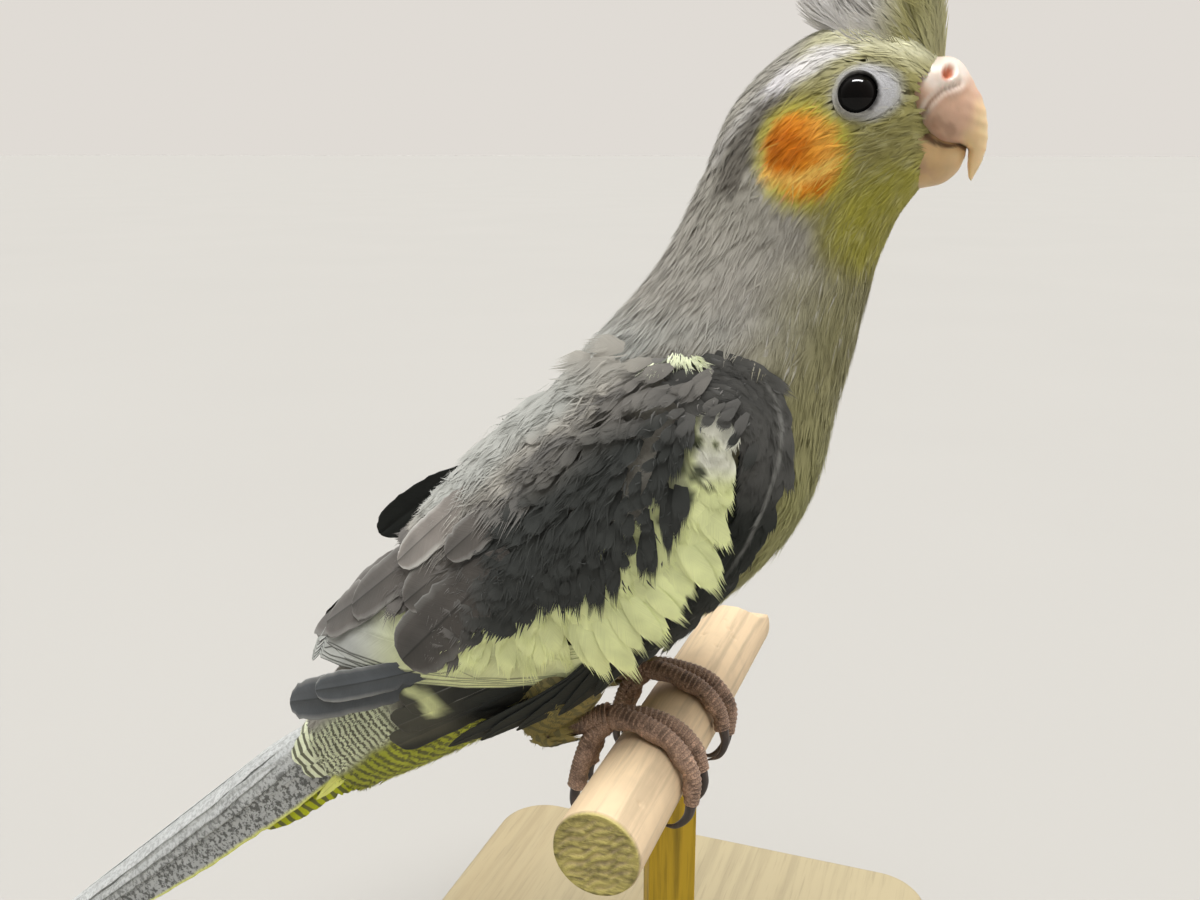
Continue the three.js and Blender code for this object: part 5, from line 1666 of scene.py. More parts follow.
class COCKATIEL_OT_crest(bpy.types.Operator):
    """Upright crest of loose-webbed feathers, longest in front and swept back behind"""

    bl_idname = "cockatiel.crest"
    bl_label = "Crest"

    def execute(self, context):
        hues = context.scene.plumage
        rng = np.random.default_rng(SEED + 80)
        finish = plumage_material("crest_plumage", pitch=0.12, contrast=0.25, relief=0.4, hair=True)
        lots = []
        count = hues.crest_count
        for i in range(count):
            share = (i + rng.random()) / count
            across = rng.uniform(-0.42, 0.42)
            root = BODY.at(mix(0.45, 2.5, share) / STATIONS, across, -1.2)
            rise = np.interp(share, [0, 0.3, 0.6, 0.78, 1.0], [87, 97, 116, 132, 152]) + rng.normal(0, 4.5)
            length = np.interp(share, [0, 0.2, 0.5, 0.72, 1.0], [41, 39, 30, 19, 11]) * rng.uniform(0.7, 1.0)
            lean = -across * 0.25 + rng.normal(0, 0.04)
            lots.append(self.feather(root, math.radians(rise), lean, length, rng, 0.12))
        # short loose feathers that lie back over the crown
        for i in range(CROWN_WISPS):
            share = (i + rng.random()) / CROWN_WISPS
            across = rng.uniform(-0.6, 0.6)
            root = BODY.at(mix(0.9, 2.35, share) / STATIONS, across, -0.8)
            rise = mix(122, 166, share) + rng.normal(0, 10)
            length = mix(14, 7.5, share) * rng.uniform(0.6, 1.15)
            lean, bow = -across * 0.5 + rng.normal(0, 0.12), rng.normal(0.0, 0.16)
            lots.append(self.feather(root, math.radians(rise), lean, length, rng, bow, 0.5))
        lot = gather(lots)
        paint = Paint(hues.crest, len(lot["share"]))
        paint(hues.forehead, 0.6 * smooth(lot["corners"][:, 0], 38, 45))
        paint(hues.stripe, 0.85 * smooth(-lot["corners"][:, 0], -39, -32))
        paint(hues.mantle, 0.5 * smooth(lot["corners"][:, 2], 140, 162))
        tone = (1 + own_tones(lot, 0, 0.07, rng)) * (0.88 + 0.2 * smooth(lot["tip"], 0, 0.8))
        coat_piece("crest_feathers", lot, paint.colours * tone[:, None], finish)
        return {"FINISHED"}

    def feather(self, root, rise, lean, length, rng, bow, stout=1.0):
        """A bundle of fine barbs that leave a curved shaft on both sides, each a narrow ribbon."""
        way = np.array([math.cos(rise), lean, math.sin(rise)])
        bend = np.array([-math.sin(rise), 0, math.cos(rise)]) * bow * length
        roll = rng.normal(0, 0.5)
        face = unit(np.array([0.5 * math.sin(roll), 1.0 if lean > 0 else -1.0, 0.4 * math.sin(roll)]))
        side = unit(np.cross(face, way))
        count = int((16 + length * 1.7) * mix(0.6, 1.0, 2 * stout - 1))
        start = np.concatenate([[0.0], rng.uniform(0.0, 0.86, count - 1) ** 0.9])
        flank = np.where(np.arange(count) % 2, 1.0, -1.0)
        flank[0] = 0
        run = np.where(start > 0, np.minimum(rng.uniform(5.5, 9.5, count) / length, 1.05 - start), 0.98)
        spread = rng.uniform(0.9, 2.0, count) * np.sin(math.pi * np.clip(start * 0.75 + 0.3, 0, 1)) * flank
        step = np.array([0, 0.35, 0.7, 1.0])
        s = start[:, None] + run[:, None] * step
        out = spread[:, None] * step ** 0.75
        puff = rng.normal(0, 0.45, (count, 1)) * step ** 2
        centre = root + way * length * s[..., None] + bend * (3 * s * (1 - s))[..., None]
        centre = centre + side * out[..., None] + face * puff[..., None]
        half = stout * np.array([0.12, 0.12, 0.08, 0.02]) * np.where(flank == 0, 1.4, 1.0)[:, None]
        corners = np.stack([centre - side * half[..., None], centre + side * half[..., None]], 2)
        base = np.arange(count)[:, None] * 8 + np.arange(3) * 2
        low = base.reshape(-1)
        faces = np.concatenate([np.stack([low, low + 2, low + 3], -1), np.stack([low, low + 3, low + 1], -1)])
        across = np.stack([out - half, out + half], 2)
        share = np.repeat(s[..., None], 2, 2)
        t, angle = BODY.find(root[0], min(root[2], 133))
        spread = np.stack([across / 3, np.clip(share, 0, 1) * 2 - 1], -1)
        patch = unwrap(float(t), float(angle)) + BAKE_PATCH * spread
        return {
            "corners": corners.reshape(-1, 3), "faces": faces,
            "barbs": np.stack([across + rng.random((count, 1, 1)) * 20, share * length], -1).reshape(-1, 2),
            "patch": patch.reshape(-1, 2), "share": share.reshape(-1), "across": across.reshape(-1),
            "feather": np.zeros(count * 8, int), "to_tip": ((1 - share) * length).reshape(-1),
            "tip": np.broadcast_to(step[None, :, None], share.shape).reshape(-1),
        }


# Eyes and bill

def eye_frame(side):
    """The eyeball's centre and the way out of the head there."""
    t, angle = BODY.find(*EYE)
    out = BODY.normal(t, angle)
    out = -out if out[1] > 0 else out
    centre = BODY.at(t, angle) - out * EYE_SUNK
    return centre * (1, side, 1), out * (1, side, 1)


class COCKATIEL_OT_eyes(bpy.types.Operator):
    """Dark glossy eyes in bare, wrinkled rings of skin"""

    bl_idname = "cockatiel.eyes"
    bl_label = "Eyes"

    def execute(self, context):
        bare = context.scene.bare
        glossy = eye_material(bare)
        lid = lid_material()
        for side, name in ((1, "right"), (-1, "left")):
            centre, out = eye_frame(side)
            bm = bmesh.new()
            bmesh.ops.create_uvsphere(bm, u_segments=48, v_segments=32, radius=bare.eye_radius * MM)
            turn = Vector(out).to_track_quat("Z", "Y").to_matrix().to_4x4()
            bmesh.ops.transform(bm, matrix=Matrix.Translation(Vector(on_bird(centre))) @ turn, verts=bm.verts)
            dressed(f"eyeball_{name}", bm, glossy, (f"eye_{name}",))
            dressed(f"eye_ring_{name}", self.ring(side), lid, colour=self.ring_colour)
        return {"FINISHED"}

    def ring(self, side):
        """Bare skin from the eyeball's edge out to the feathers, with a raised lid."""
        def place(u, v):
            turn = u * 2 * math.pi
            share = smooth(v, 0, 1) * 0.4 + v * 0.6
            narrow = 1 - 0.22 * share * np.cos(turn)
            x = mix(EYE[0], RING[0], share) + mix(2.85, RING[2] + 0.5, share) * np.cos(turn)
            z = mix(EYE[1], RING[1], share) + mix(2.95, RING[3] + 0.4, share) * np.sin(turn) * narrow
            t, angle = BODY.find(x, z)
            lid = 0.7 * np.exp(-((v - 0.13) / 0.1) ** 2)
            sunk = -1.5 * (1 - smooth(v, 0, 0.1))
            beads = 0.06 * np.cos(46 * turn) * np.exp(-((v - 0.14) / 0.07) ** 2)
            crease = 0.02 * np.sin(30 * v + 2.2 * np.sin(2 * turn)) * smooth(v, 0.25, 0.4)
            edge = -0.7 * smooth(v, 0.84, 1)
            return BODY.at(t, angle, 0.05 + lid + sunk + beads + crease + edge) * (1, side, 1)

        return sheet_of(138, 34, place, caps=False)

    def ring_colour(self, places):
        hues = bpy.context.scene.plumage
        paint = Paint(hues.eye_ring, len(places))
        reach = np.hypot(places[:, 0] - EYE[0], places[:, 2] - EYE[1])
        paint((0.13, 0.12, 0.12), 0.92 * (1 - smooth(reach + 0.12 * wobble(places, 0.5), 3.1, 3.75)))
        # feathers close in from behind and below
        ahead, down = places[:, 0] - RING[0], RING[1] - places[:, 2]
        rim = np.hypot(ahead / RING[2], down / RING[3]) + 0.16 * smooth(-ahead + down, -1, 3)
        closed = 0.9 * smooth(rim + 0.1 * wobble(places, 0.8), 0.74, 1.02)
        colours = mix(paint.colours, body_colour(places), closed[:, None])
        return colours * (1 + 0.06 * wobble(places, 1.0))[:, None]


def eye_material(bare):
    material, n = new_material("eye_gloss", bare.eye, 0.06, specular=0.16)
    rim = n.noise(n.place(), 300.0)
    n.colour(n.blend(bare.eye, (0.06, 0.045, 0.04), n.ramp(rim, 0.4, 0.7)))
    return material


def lid_material():
    material, n = new_material("eye_ring_skin", (0.7, 0.7, 0.7), 0.6, specular=0.35)
    creases = n.cells(2600.0, 0.25)
    # the skin is darker grey along the creases between its small scales
    worn = n.blend((0.5, 0.48, 0.48), n.attribute("markings"), n.math("MULTIPLY_ADD", creases, 0.22, 0.78))
    n.colour(worn)
    n.bump(creases, 0.25, 0.0002)
    return material


NOSTRIL = (45.6, 126.8)
MOUTH = [(41.0, 118.9), (42.6, 117.8), (44.4, 116.6), (46.4, 116.0), (48.0, 116.2), (49.2, 115.4)]
BILL_FOLD = [(47.4, 125.2), (45.2, 124.4), (43.6, 122.8), (42.3, 120.8), (41.2, 119.2)]


class COCKATIEL_OT_bill(bpy.types.Operator):
    """Hooked upper bill with cere and nostrils, and the lower bill under it"""

    bl_idname = "cockatiel.bill"
    bl_label = "Bill"

    def execute(self, context):
        finish = bill_material(context.scene.bare)
        dressed("bill_upper", sheet_of(72, 90, self.upper), finish, ("upper_bill",), self.upper_colour)
        dressed("bill_lower", sheet_of(56, 44, self.lower), finish, ("lower_bill",), self.lower_colour)
        return {"FINISHED"}

    def upper(self, u, v):
        angle = u * 2 * math.pi
        places = UPPER_BILL.at(v, angle)
        out = UPPER_BILL.normal(np.clip(v, 0.005, 0.995), angle)
        x, z = places[:, 0], places[:, 2]
        side = np.abs(places[:, 1])
        cere = 0.7 * np.exp(-((x - 45.4) / 2.4) ** 2 - ((z - 126.8) / 2.2) ** 2)
        ahead, up, on_side = x - NOSTRIL[0], z - NOSTRIL[1], side > 1.5
        pit = -1.8 * np.exp(-((ahead / 0.7) ** 2 + (up / 0.8) ** 2) ** 1.5) * on_side
        rim = 0.2 * np.exp(-((np.hypot(ahead, up) - 1.25) / 0.35) ** 2) * on_side
        off = far_from(BILL_FOLD, x, z)
        groove = -0.30 * np.exp(-(off / 0.32) ** 2) + 0.22 * np.exp(-((off - 0.9) / 0.6) ** 2)
        lobe = 0.4 * np.exp(-((x - 45.2) / 2.4) ** 2 - ((z - 119.6) / 2.6) ** 2)
        flakes = 0.05 * np.sin(3.3 * z + 1.4 * x) * smooth(x, 46, 50)
        middle = (UPPER_BILL.at(v, 0 * angle) + UPPER_BILL.at(v, 0 * angle + math.pi)) / 2
        facing = np.sign(np.sum(out * (places - middle), -1))
        fade = smooth(1 - v, 0.03, 0.3)
        return places + out * (facing * (cere + pit + rim + groove + lobe + flakes) * fade)[:, None]

    def lower(self, u, v):
        angle = u * 2 * math.pi
        places = LOWER_BILL.at(v, angle)
        rim = np.cos(angle) > 0.4
        places[:, 2] += 0.15 * np.sin(places[:, 0] * 1.9) * rim
        return places

    def upper_colour(self, places):
        """Peach cere, mottled pinkish sides with a pale fold, and horn towards the hook."""
        bare = bpy.context.scene.bare
        x, z = places[:, 0], places[:, 2]
        side = np.abs(places[:, 1])
        paint = Paint(bare.bill, len(places))
        clean = 1 - smooth(np.hypot((x - 45.5) / 3.4, (z - 119.4) / 3.4), 0.6, 1.2)
        paint(bare.bill_dusky, 0.7 * (smooth(wobble(places, 1.9, 2.0), -0.1, 0.6) * clean))
        tip = smooth(x - 0.35 * (z - 118) + 0.6 * wobble(places, 2), 47.6, 50.8)
        paint(bare.bill_tip, tip)
        paint(bare.cere, 1 - smooth(np.hypot((x - 45.2) / 4, (z - 127) / 3.2), 0.6, 1.2))
        pale = np.exp(-((far_from(BILL_FOLD, x, z) - 0.55) / 0.4) ** 2)
        paint(bare.cere, 0.7 * pale)
        paint(bare.bill_dusky, 0.5 * np.exp(-(far_from(BILL_FOLD, x, z) / 0.25) ** 2))
        pit = np.hypot((x - NOSTRIL[0]) / 0.8, (z - NOSTRIL[1]) / 0.95)
        paint(bare.nostril, (1 - smooth(pit, 0.7, 1.25)) * (side > 1.5))
        return self.mouth(paint, x, z) * (1 + 0.06 * wobble(places, 1.6))[:, None]

    def mouth(self, paint, x, z):
        """A dark line where the bills meet, widest at the gape."""
        away = far_from(MOUTH, x, z)
        width = mix(0.75, 0.3, smooth(x, 41.5, 46))
        paint((0.26, 0.16, 0.11), 0.8 * (1 - smooth(away, 0.4 * width, 1.5 * width)))
        return paint.colours

    def lower_colour(self, places):
        bare = bpy.context.scene.bare
        x, z = places[:, 0], places[:, 2]
        paint = Paint(bare.bill, len(places))
        paint.colours *= 0.95
        paint((0.74, 0.62, 0.38), 0.65)
        paint(bare.bill_tip, 0.5 * smooth(x, 45, 48.5))
        paint(bare.bill_dusky, 0.5 * smooth(wobble(places, 1.7, 1.0), 0, 0.6) * (1 - smooth(x, 43, 46)))
        return self.mouth(paint, x, z) * (1 + 0.06 * wobble(places, 1.4))[:, None]


def bill_material(bare):
    material, n = new_material("bill_horn", bare.bill, 0.42, specular=0.45)
    growth = n.noise(n.stretch(n.place(), (1, 1, 0.35)), 420.0, detail=4.0)
    fine = n.noise(n.place(), 1500.0, detail=2.0)
    tone = n.grey(n.math("MULTIPLY_ADD", growth, 0.3, 0.85))
    n.toned(None, tone)
    n.fix(**{"Subsurface Weight": 0.25, "Subsurface Radius": (1.0, 0.4, 0.25), "Subsurface Scale": 0.0012})
    n.bump(n.math("MULTIPLY_ADD", fine, 0.35, growth), 0.3, 0.0002)
    return material


# Legs, feet and claws

def round_perch(*spots):
    """Places round the dowel from angles in degrees, places along it and distances from its axis."""
    turned = [(math.radians(degrees), y, far) for degrees, y, far in spots]
    return [(far * math.cos(turn), y, far * math.sin(turn)) for turn, y, far in turned]


ANKLE = (-20.5, -13.2, 6.2)
FOOT_JOINT = (-7.2, -11.6, 10.8)
# lines of each toe and of its claw, the two front toes first
TOES = [
    (
        [FOOT_JOINT, *round_perch((92, -12.6, 10.6), (55, -13.8, 10.2), (18, -14.4, 10.2), (-16, -14.2, 10.2))],
        round_perch((-12.5, -14.2, 10.2), (-33, -14.1, 10.9), (-52, -13.9, 10.9), (-68, -13.6, 9.6)),
    ),
    (
        [FOOT_JOINT, *round_perch((94, -9.6, 10.6), (62, -8.9, 10.2), (32, -8.6, 10.2), (6, -8.4, 10.2))],
        round_perch((9.5, -8.4, 10.2), (-10, -8.3, 10.9), (-28, -8.2, 10.9), (-44, -8.1, 9.6)),
    ),
    (
        [FOOT_JOINT, (-10.2, -13.2, 6.4), (-11.8, -14.4, 1.6), (-12.9, -14.9, -3.4)],
        [(-12.8, -14.9, -2.8), (-13.4, -15.1, -6.6), (-12.6, -15.2, -9.2), (-10.8, -15.2, -11.2)],
    ),
    (
        [FOOT_JOINT, (-10.3, -9.8, 6.6), (-11.7, -8.8, 2.6), (-12.4, -8.4, -1.2)],
        [(-12.3, -8.4, -0.6), (-12.8, -8.2, -4.2), (-12.0, -8.1, -6.6), (-10.3, -8.1, -8.4)],
    ),
]
TOE_RADII = [2.2, 2.0, 1.9, 1.75, 1.5]
CLAW_RADII = [1.15, 0.85, 0.5, 0.12]


class COCKATIEL_OT_legs(bpy.types.Operator):
    """Barred thigh feathers that hang down over the ankles"""

    bl_idname = "cockatiel.legs"
    bl_label = "Thighs"

    def execute(self, context):
        hues = context.scene.plumage
        finish = plumage_material("thigh_plumage", slant=1.8, pitch=0.28, contrast=0.26, relief=0.6)
        for side, name in ((1, "right"), (-1, "left")):
            rng = np.random.default_rng(SEED + 100)
            form = Limb(THIGH_LINE, THIGH_RADII)
            t, angle = spots(form, (0.22, 0.92), evenly(1.6), rng)
            count = len(t)
            length = mix(7.0, 2.6, t) * rng.uniform(0.9, 1.2, count)
            width = mix(4.0, 2.4, t)
            lift = (np.full(count, -1.4), rng.uniform(-0.3, 0.2, count))
            rates = steered(form, t, angle, rng.normal(0, 0.1, count), length)
            lot = blades(form, t, angle, rates, length, width, lift, rng, strips=7, ragged=0.25)
            # the feathers run on over the ankle
            cuff = Limb(CUFF_LINE, CUFF_RADII)
            t, angle = spots(cuff, (0.02, 0.95), evenly(1.5), rng)
            over = len(t)
            length, width = np.full(over, 3.6), np.full(over, 2.4)
            rates = steered(cuff, t, angle, rng.normal(0, 0.15, over), length)
            lift = (np.full(over, -0.8), rng.uniform(-0.1, 0.3, over))
            lot = gather([lot, blades(cuff, t, angle, rates, length, width, lift, rng, strips=6, ragged=0.3)])
            paint = Paint(hues.thigh, len(lot["corners"]))
            paint(hues.mantle, 0.5 * smooth(lot["corners"][:, 2], 17, 26))
            tone = 1 + own_tones(lot, 0, 0.07, rng)
            if side < 0:
                lot = mirrored(lot)
            colours, leg = paint.colours * tone[:, None], (f"leg_{name}",)
            coat_piece(f"thigh_{name}_feathers", lot, colours, finish, leg, bars=0.6, pitch=2.0)
        return {"FINISHED"}


class Limb:
    """A round limb with the same ways of being asked as a loft."""

    def __init__(self, line, radii):
        self.line = np.asarray(line, float)
        self.radii = np.asarray(radii, float)
        self.rows = np.concatenate([self.line, np.zeros((len(line), 1)), self.radii[:, None]], 1)

    def at(self, t, angle, grow=0.0):
        t, angle, grow = np.broadcast_arrays(*(np.asarray(v, float) for v in (t, angle, grow)))
        held = np.clip(t, 0, 1)
        places, out, along = tube_places(self.line, self.radii, held, angle)
        return places + out * grow[..., None] + along * ((t - held) * 24)[..., None]

    ways = Loft.ways
    normal = Loft.normal


class COCKATIEL_OT_feet(bpy.types.Operator):
    """Scaly feet that grip the perch with two toes in front and two behind, and their claws"""

    bl_idname = "cockatiel.feet"
    bl_label = "Feet"

    def execute(self, context):
        bare = context.scene.bare
        scaly = foot_material(bare)
        horn = claw_material(bare)
        for side, name in ((1, "right"), (-1, "left")):
            bm = bmesh.new()
            lines = [([ANKLE, tuple(np.add(ANKLE, FOOT_JOINT) / 2), FOOT_JOINT], [2.5, 2.1, 2.6])]
            lines += [(toe, TOE_RADII[:len(toe)]) for toe, claw in TOES]
            for line, radii in lines:
                mesh = to_mesh("toe", tube_bm(line, radii, 32, 170, side, self.scutes(line)))
                bm.from_mesh(mesh)
                bpy.data.meshes.remove(mesh)
            dressed(f"foot_{name}_skin", bm, scaly, (f"foot_{name}",), self.colour)
            for i, (toe, line) in enumerate(TOES):
                claw = f"claw_{name}_{i + 1}"
                dressed(f"{claw}_horn", tube_bm(line, CLAW_RADII, 20, 30, side), horn, (claw,))
        return {"FINISHED"}

    def scutes(self, line):
        """Overlapping scutes across the outer side of a toe and soft pads under it."""
        length = float(np.sum(np.linalg.norm(np.diff(np.array(line), axis=0), axis=1)))
        behind = -1.0 if line[-1][0] < line[0][0] and line[-1][2] < line[0][2] else 1.0
        count = length / 0.95

        def shape(u, v):
            outer = smooth(behind * np.sin(u * 2 * math.pi), -0.1, 0.5)
            saw = (v * count) % 1.0
            ridge = np.where(saw < 0.8, saw / 0.8, (1 - saw) / 0.2)
            pads = 0.22 * np.sin(v * length * 0.9) * (1 - outer)
            knobs = 0.10 * np.sin(v * length * 4.2) * np.sin(u * 38) * (1 - outer)
            return 0.27 * (ridge - 0.5) * outer + pads + knobs

        return shape

    def colour(self, places):
        bare = bpy.context.scene.bare
        paint = Paint(bare.foot, len(places))
        paint(bare.foot_dark, 0.5 * smooth(wobble(places, 2.6), 0.1, 0.8))
        return paint.colours * (1 + 0.12 * wobble(places, 1.2))[:, None]


def foot_material(bare):
    material, n = new_material("foot_scales", bare.foot, 0.5, specular=0.4)
    scale = n.cells(1700.0, 0.16)
    # painted shade darkens the creases between scutes, and a painted highlight pales their raised edges
    form = n.add("ShaderNodeNewGeometry").outputs["Pointiness"]
    tone = n.noise(n.place(), 400.0, detail=3.0)
    colour = n.blend(n.attribute("markings"), bare.foot_dark, n.ramp(form, 0.43, 0.5, 0.95, 0.0))
    colour = n.blend(colour, shade(bare.foot, 1.32), n.ramp(form, 0.515, 0.58, 0.0, 0.8))
    colour = n.blend(bare.foot_dark, colour, n.math("MULTIPLY_ADD", scale, 0.45, 0.55))
    colour = n.blend(colour, bare.foot_dark, n.ramp(tone, 0.5, 0.75, 0.0, 0.4))
    n.colour(colour)
    n.bump(scale, 0.5, 0.0002)
    return material


def claw_material(bare):
    material, n = new_material("claw_horn", bare.claw, 0.35, specular=0.5)
    streak = n.noise(n.stretch(n.place(), (1, 1, 0.3)), 900.0, detail=3.0)
    n.colour(n.blend(bare.claw, (0.36, 0.29, 0.25), n.ramp(streak, 0.45, 0.8)))
    n.bump(streak, 0.2, 0.0001)
    return material


# Stand

PERCH_NEAR_Y = -39.8
PERCH_FAR_Y = 65.2
NOTCH_WIDTH = 11.0
NOTCH_DEPTH = 5.0
POST = {"x": -2.0, "y": 12.7, "width": 10.0, "turn": math.radians(24)}
BASE = {"left": -81.0, "right": 50.0, "front": -60.0, "back": 108.0, "thick": 12.0, "corner": 14.0}
GLUE_GAP = 0.3  # between the post and what it touches
# dents in the dowel: their place, their size and their depth
DENTS = [
    (3.0, 44.0, 7.4, 0.8, 0.9), (1.2, 47.5, 7.9, 0.6, 0.7), (4.4, 41.0, 6.6, 0.5, 0.6),
    (-2.0, 38.0, 7.7, 0.6, 0.5), (2.4, 33.0, 7.6, 0.5, 0.5), (5.2, -31.0, 6.0, 0.6, 0.5),
]


class COCKATIEL_OT_stand(bpy.types.Operator):
    """Wooden dowel with a sawn saddle, its post and its base board"""

    bl_idname = "cockatiel.stand"
    bl_label = "Perch and stand"

    def execute(self, context):
        wood = context.scene.stand
        perch = dressed("perch_dowel", self.perch(wood), perch_material(wood), ("stand_perch",))
        places = places_of(perch.data)
        end = 1 - smooth(places[:, 1], PERCH_NEAR_Y + 0.3, PERCH_NEAR_Y + 0.9)
        mark(perch.data, np.ones_like(places), {"end": end})
        timber = board_material("post_timber", wood.post_wood, 2, 1.0, 1.7)
        post = dressed("post_stick", self.post(wood), timber, ("stand_post",), smooth_faces=False)
        board = board_material("base_timber", wood.base_wood, 1, 0.3, 0.6)
        base = dressed("base_board", self.base(), board, ("stand_base",), smooth_faces=False)
        for piece, width in ((post, 0.0005), (base, 0.0016)):
            bevel = piece.modifiers.new("Eased edges", "BEVEL")
            bevel.width = width
            bevel.segments = 3
            bevel.limit_method = "ANGLE"
            bevel.angle_limit = math.radians(50)
            piece.data.polygons.foreach_set("use_smooth", np.zeros(len(piece.data.polygons), bool))
        return {"FINISHED"}

    def perch(self, wood):
        """The dowel, with a rough sawn end and the saddle across the top of the far one."""
        radius = wood.perch_radius
        rng = np.random.default_rng(SEED + 120)
        phases = rng.uniform(0, 6, 8)

        def place(u, v):
            # the first and last tenths of the run close the ends
            turn = u * 2 * math.pi
            near = np.clip(v / 0.1, 0, 1)
            far = np.clip((1 - v) / 0.1, 0, 1)
            reach = radius * np.minimum(near, far)
            run = np.clip((v - 0.1) / 0.8, 0, 1)
            y = mix(PERCH_NEAR_Y, PERCH_FAR_Y, run)
            x, z = reach * np.cos(turn), reach * np.sin(turn)
            across_saw = 0.5 * x - 0.87 * z
            rough = 0.16 * np.abs(np.sin(1.5 * across_saw + 0.8 * np.sin(0.9 * x + phases[0]) + phases[1]))
            rough += 0.09 * np.sin(4.3 * across_saw + 1.4 * np.sin(1.3 * x + phases[2]))
            y = y + np.where(v < 0.1, rough * smooth(reach, radius, radius * 0.8) + 0.3, 0)
            rounding = 0.5 * (smooth(y, PERCH_NEAR_Y + 1.2, PERCH_NEAR_Y) ** 2)
            keep = 1 - rounding / radius
            x, z = x * keep, z * keep
            for dx, dy, dz, size, depth in DENTS:
                away = np.sqrt((x - dx) ** 2 + (y - dy) ** 2 + (z - dz) ** 2)
                push = depth * np.exp(-(away / size) ** 2)
                x, z = x * (1 - push / radius), z * (1 - push / radius)
            inside_notch = np.clip(NOTCH_WIDTH ** 2 - (y - PERCH_FAR_Y) ** 2, 0, None)
            floor = radius + NOTCH_WIDTH - NOTCH_DEPTH - np.sqrt(inside_notch)
            z = np.where((inside_notch > 0) & (z > floor), floor, z)
            return np.stack([x, y, z], -1)

        return sheet_of(112, 260, place, caps=False)

    def post(self, wood):
        """A square post whose top is hollowed to seat the dowel."""
        foot = BASE["thick"] + GLUE_GAP
        height = PERCH_HEIGHT - foot
        size, centre = (POST["width"], POST["width"], height), (POST["x"], POST["y"], foot + height / 2)
        bm = block(size, centre, POST["turn"])
        edges = [e for e in bm.edges if not is_upright(e) and e.verts[0].co.z > 0.05]
        bmesh.ops.subdivide_edges(bm, edges=edges, cuts=20, use_grid_fill=True)
        radius = wood.perch_radius + GLUE_GAP
        for vert in bm.verts:
            if vert.co.z > (PERCH_HEIGHT - 1) * MM and abs(vert.co.x) < radius * MM:
                drop = math.sqrt(max(radius ** 2 - (vert.co.x / MM) ** 2, 0))
                vert.co.z = (PERCH_HEIGHT - drop) * MM
        bmesh.ops.recalc_face_normals(bm, faces=bm.faces)
        return bm

    def base(self):
        """A board with rounded corners."""
        left, right, front, back, thick = (BASE[key] for key in ("left", "right", "front", "back", "thick"))
        bm = block((right - left, back - front, thick), ((left + right) / 2, (front + back) / 2, thick / 2))
        upright = [e for e in bm.edges if is_upright(e)]
        corner = BASE["corner"] * MM
        bmesh.ops.bevel(bm, geom=upright, offset=corner, segments=12, profile=0.5, affect="EDGES", material=-1)
        bmesh.ops.recalc_face_normals(bm, faces=bm.faces)
        return bm


def block(size, centre, turn=0.0):
    """A box in millimetres over the floor."""
    bm = bmesh.new()
    bmesh.ops.create_cube(bm, size=1.0)
    bmesh.ops.scale(bm, vec=[v * MM for v in size], verts=bm.verts)
    bmesh.ops.rotate(bm, cent=(0, 0, 0), matrix=Matrix.Rotation(turn, 3, "Z"), verts=bm.verts)
    bmesh.ops.translate(bm, vec=[v * MM for v in centre], verts=bm.verts)
    return bm


def is_upright(edge):
    return abs(edge.verts[0].co.z - edge.verts[1].co.z) > 1e-6


def board_material(name, hue, way, knots, figure):
    """Planed softwood: fine long grain along one axis, faint broad bands and pores."""
    material, n = new_material(name, hue, 0.6, specular=0.3)
    stretch = tuple(0.05 if axis == way else 1.0 for axis in range(3))
    grain = n.noise(n.stretch(n.place(), stretch), 330.0, detail=5.0, roughness=0.6, distortion=0.3)
    broad = tuple(v * 0.5 + 0.02 for v in stretch)
    bands = n.noise(n.stretch(n.place(), broad), 60.0, detail=3.0, distortion=0.6)
    pores = n.noise(n.stretch(n.place(), stretch), 1400.0, detail=2.0)
    dark = shade(hue, 0.86 - 0.1 * figure)
    stain = tuple(c * s for c, s in zip(hue, (0.84, 0.72, 0.55)))
    colour = n.blend(hue, dark, n.ramp(grain, 0.44, 0.68, 0.0, 0.6 * figure))
    colour = n.blend(colour, stain, n.ramp(bands, 0.48, 0.72, 0.0, knots))
    colour = n.blend(colour, dark, n.ramp(pores, 0.55, 0.75, 0.0, 0.35))
    n.colour(colour)
    n.bump(n.math("MULTIPLY_ADD", pores, 0.4, grain), 0.3, 0.0002)
    return material


def perch_material(wood):
    """Pale dowel with fine long grain, and rough sawn wood on its near end."""
    material, n = new_material("perch_timber", wood.perch_wood, 0.62, specular=0.3)
    grain = n.noise(n.stretch(n.place(), (1, 0.05, 1)), 420.0, detail=5.0, roughness=0.6, distortion=0.3)
    worn = n.noise(n.place(), 90.0, detail=3.0)
    dark = shade(wood.perch_wood, 0.78)
    colour = n.blend(wood.perch_wood, dark, n.ramp(grain, 0.45, 0.7, 0.0, 0.65))
    colour = n.blend(colour, dark, n.ramp(worn, 0.5, 0.75, 0.0, 0.35))
    # saw marks run across the end on a slant
    slant = n.stretch(n.place(), (0.16, 1, 1), turn=(0, math.radians(30), 0))
    marks = n.noise(slant, 900.0, detail=4.0, roughness=0.6)
    sawn = n.math("MULTIPLY_ADD", n.noise(n.place(), 700.0, detail=4.0), 0.4, n.math("MULTIPLY", marks, 0.6))
    end_colour = n.blend(wood.end_grain, shade(wood.end_grain, 0.66), n.ramp(sawn, 0.42, 0.62))
    end = n.attribute("end", "Fac")
    n.colour(n.blend(colour, end_colour, end))
    n.bump(n.math("MULTIPLY_ADD", n.math("MULTIPLY", sawn, end), 8.0, grain), 0.6, 0.0003)
    return material


# Stage

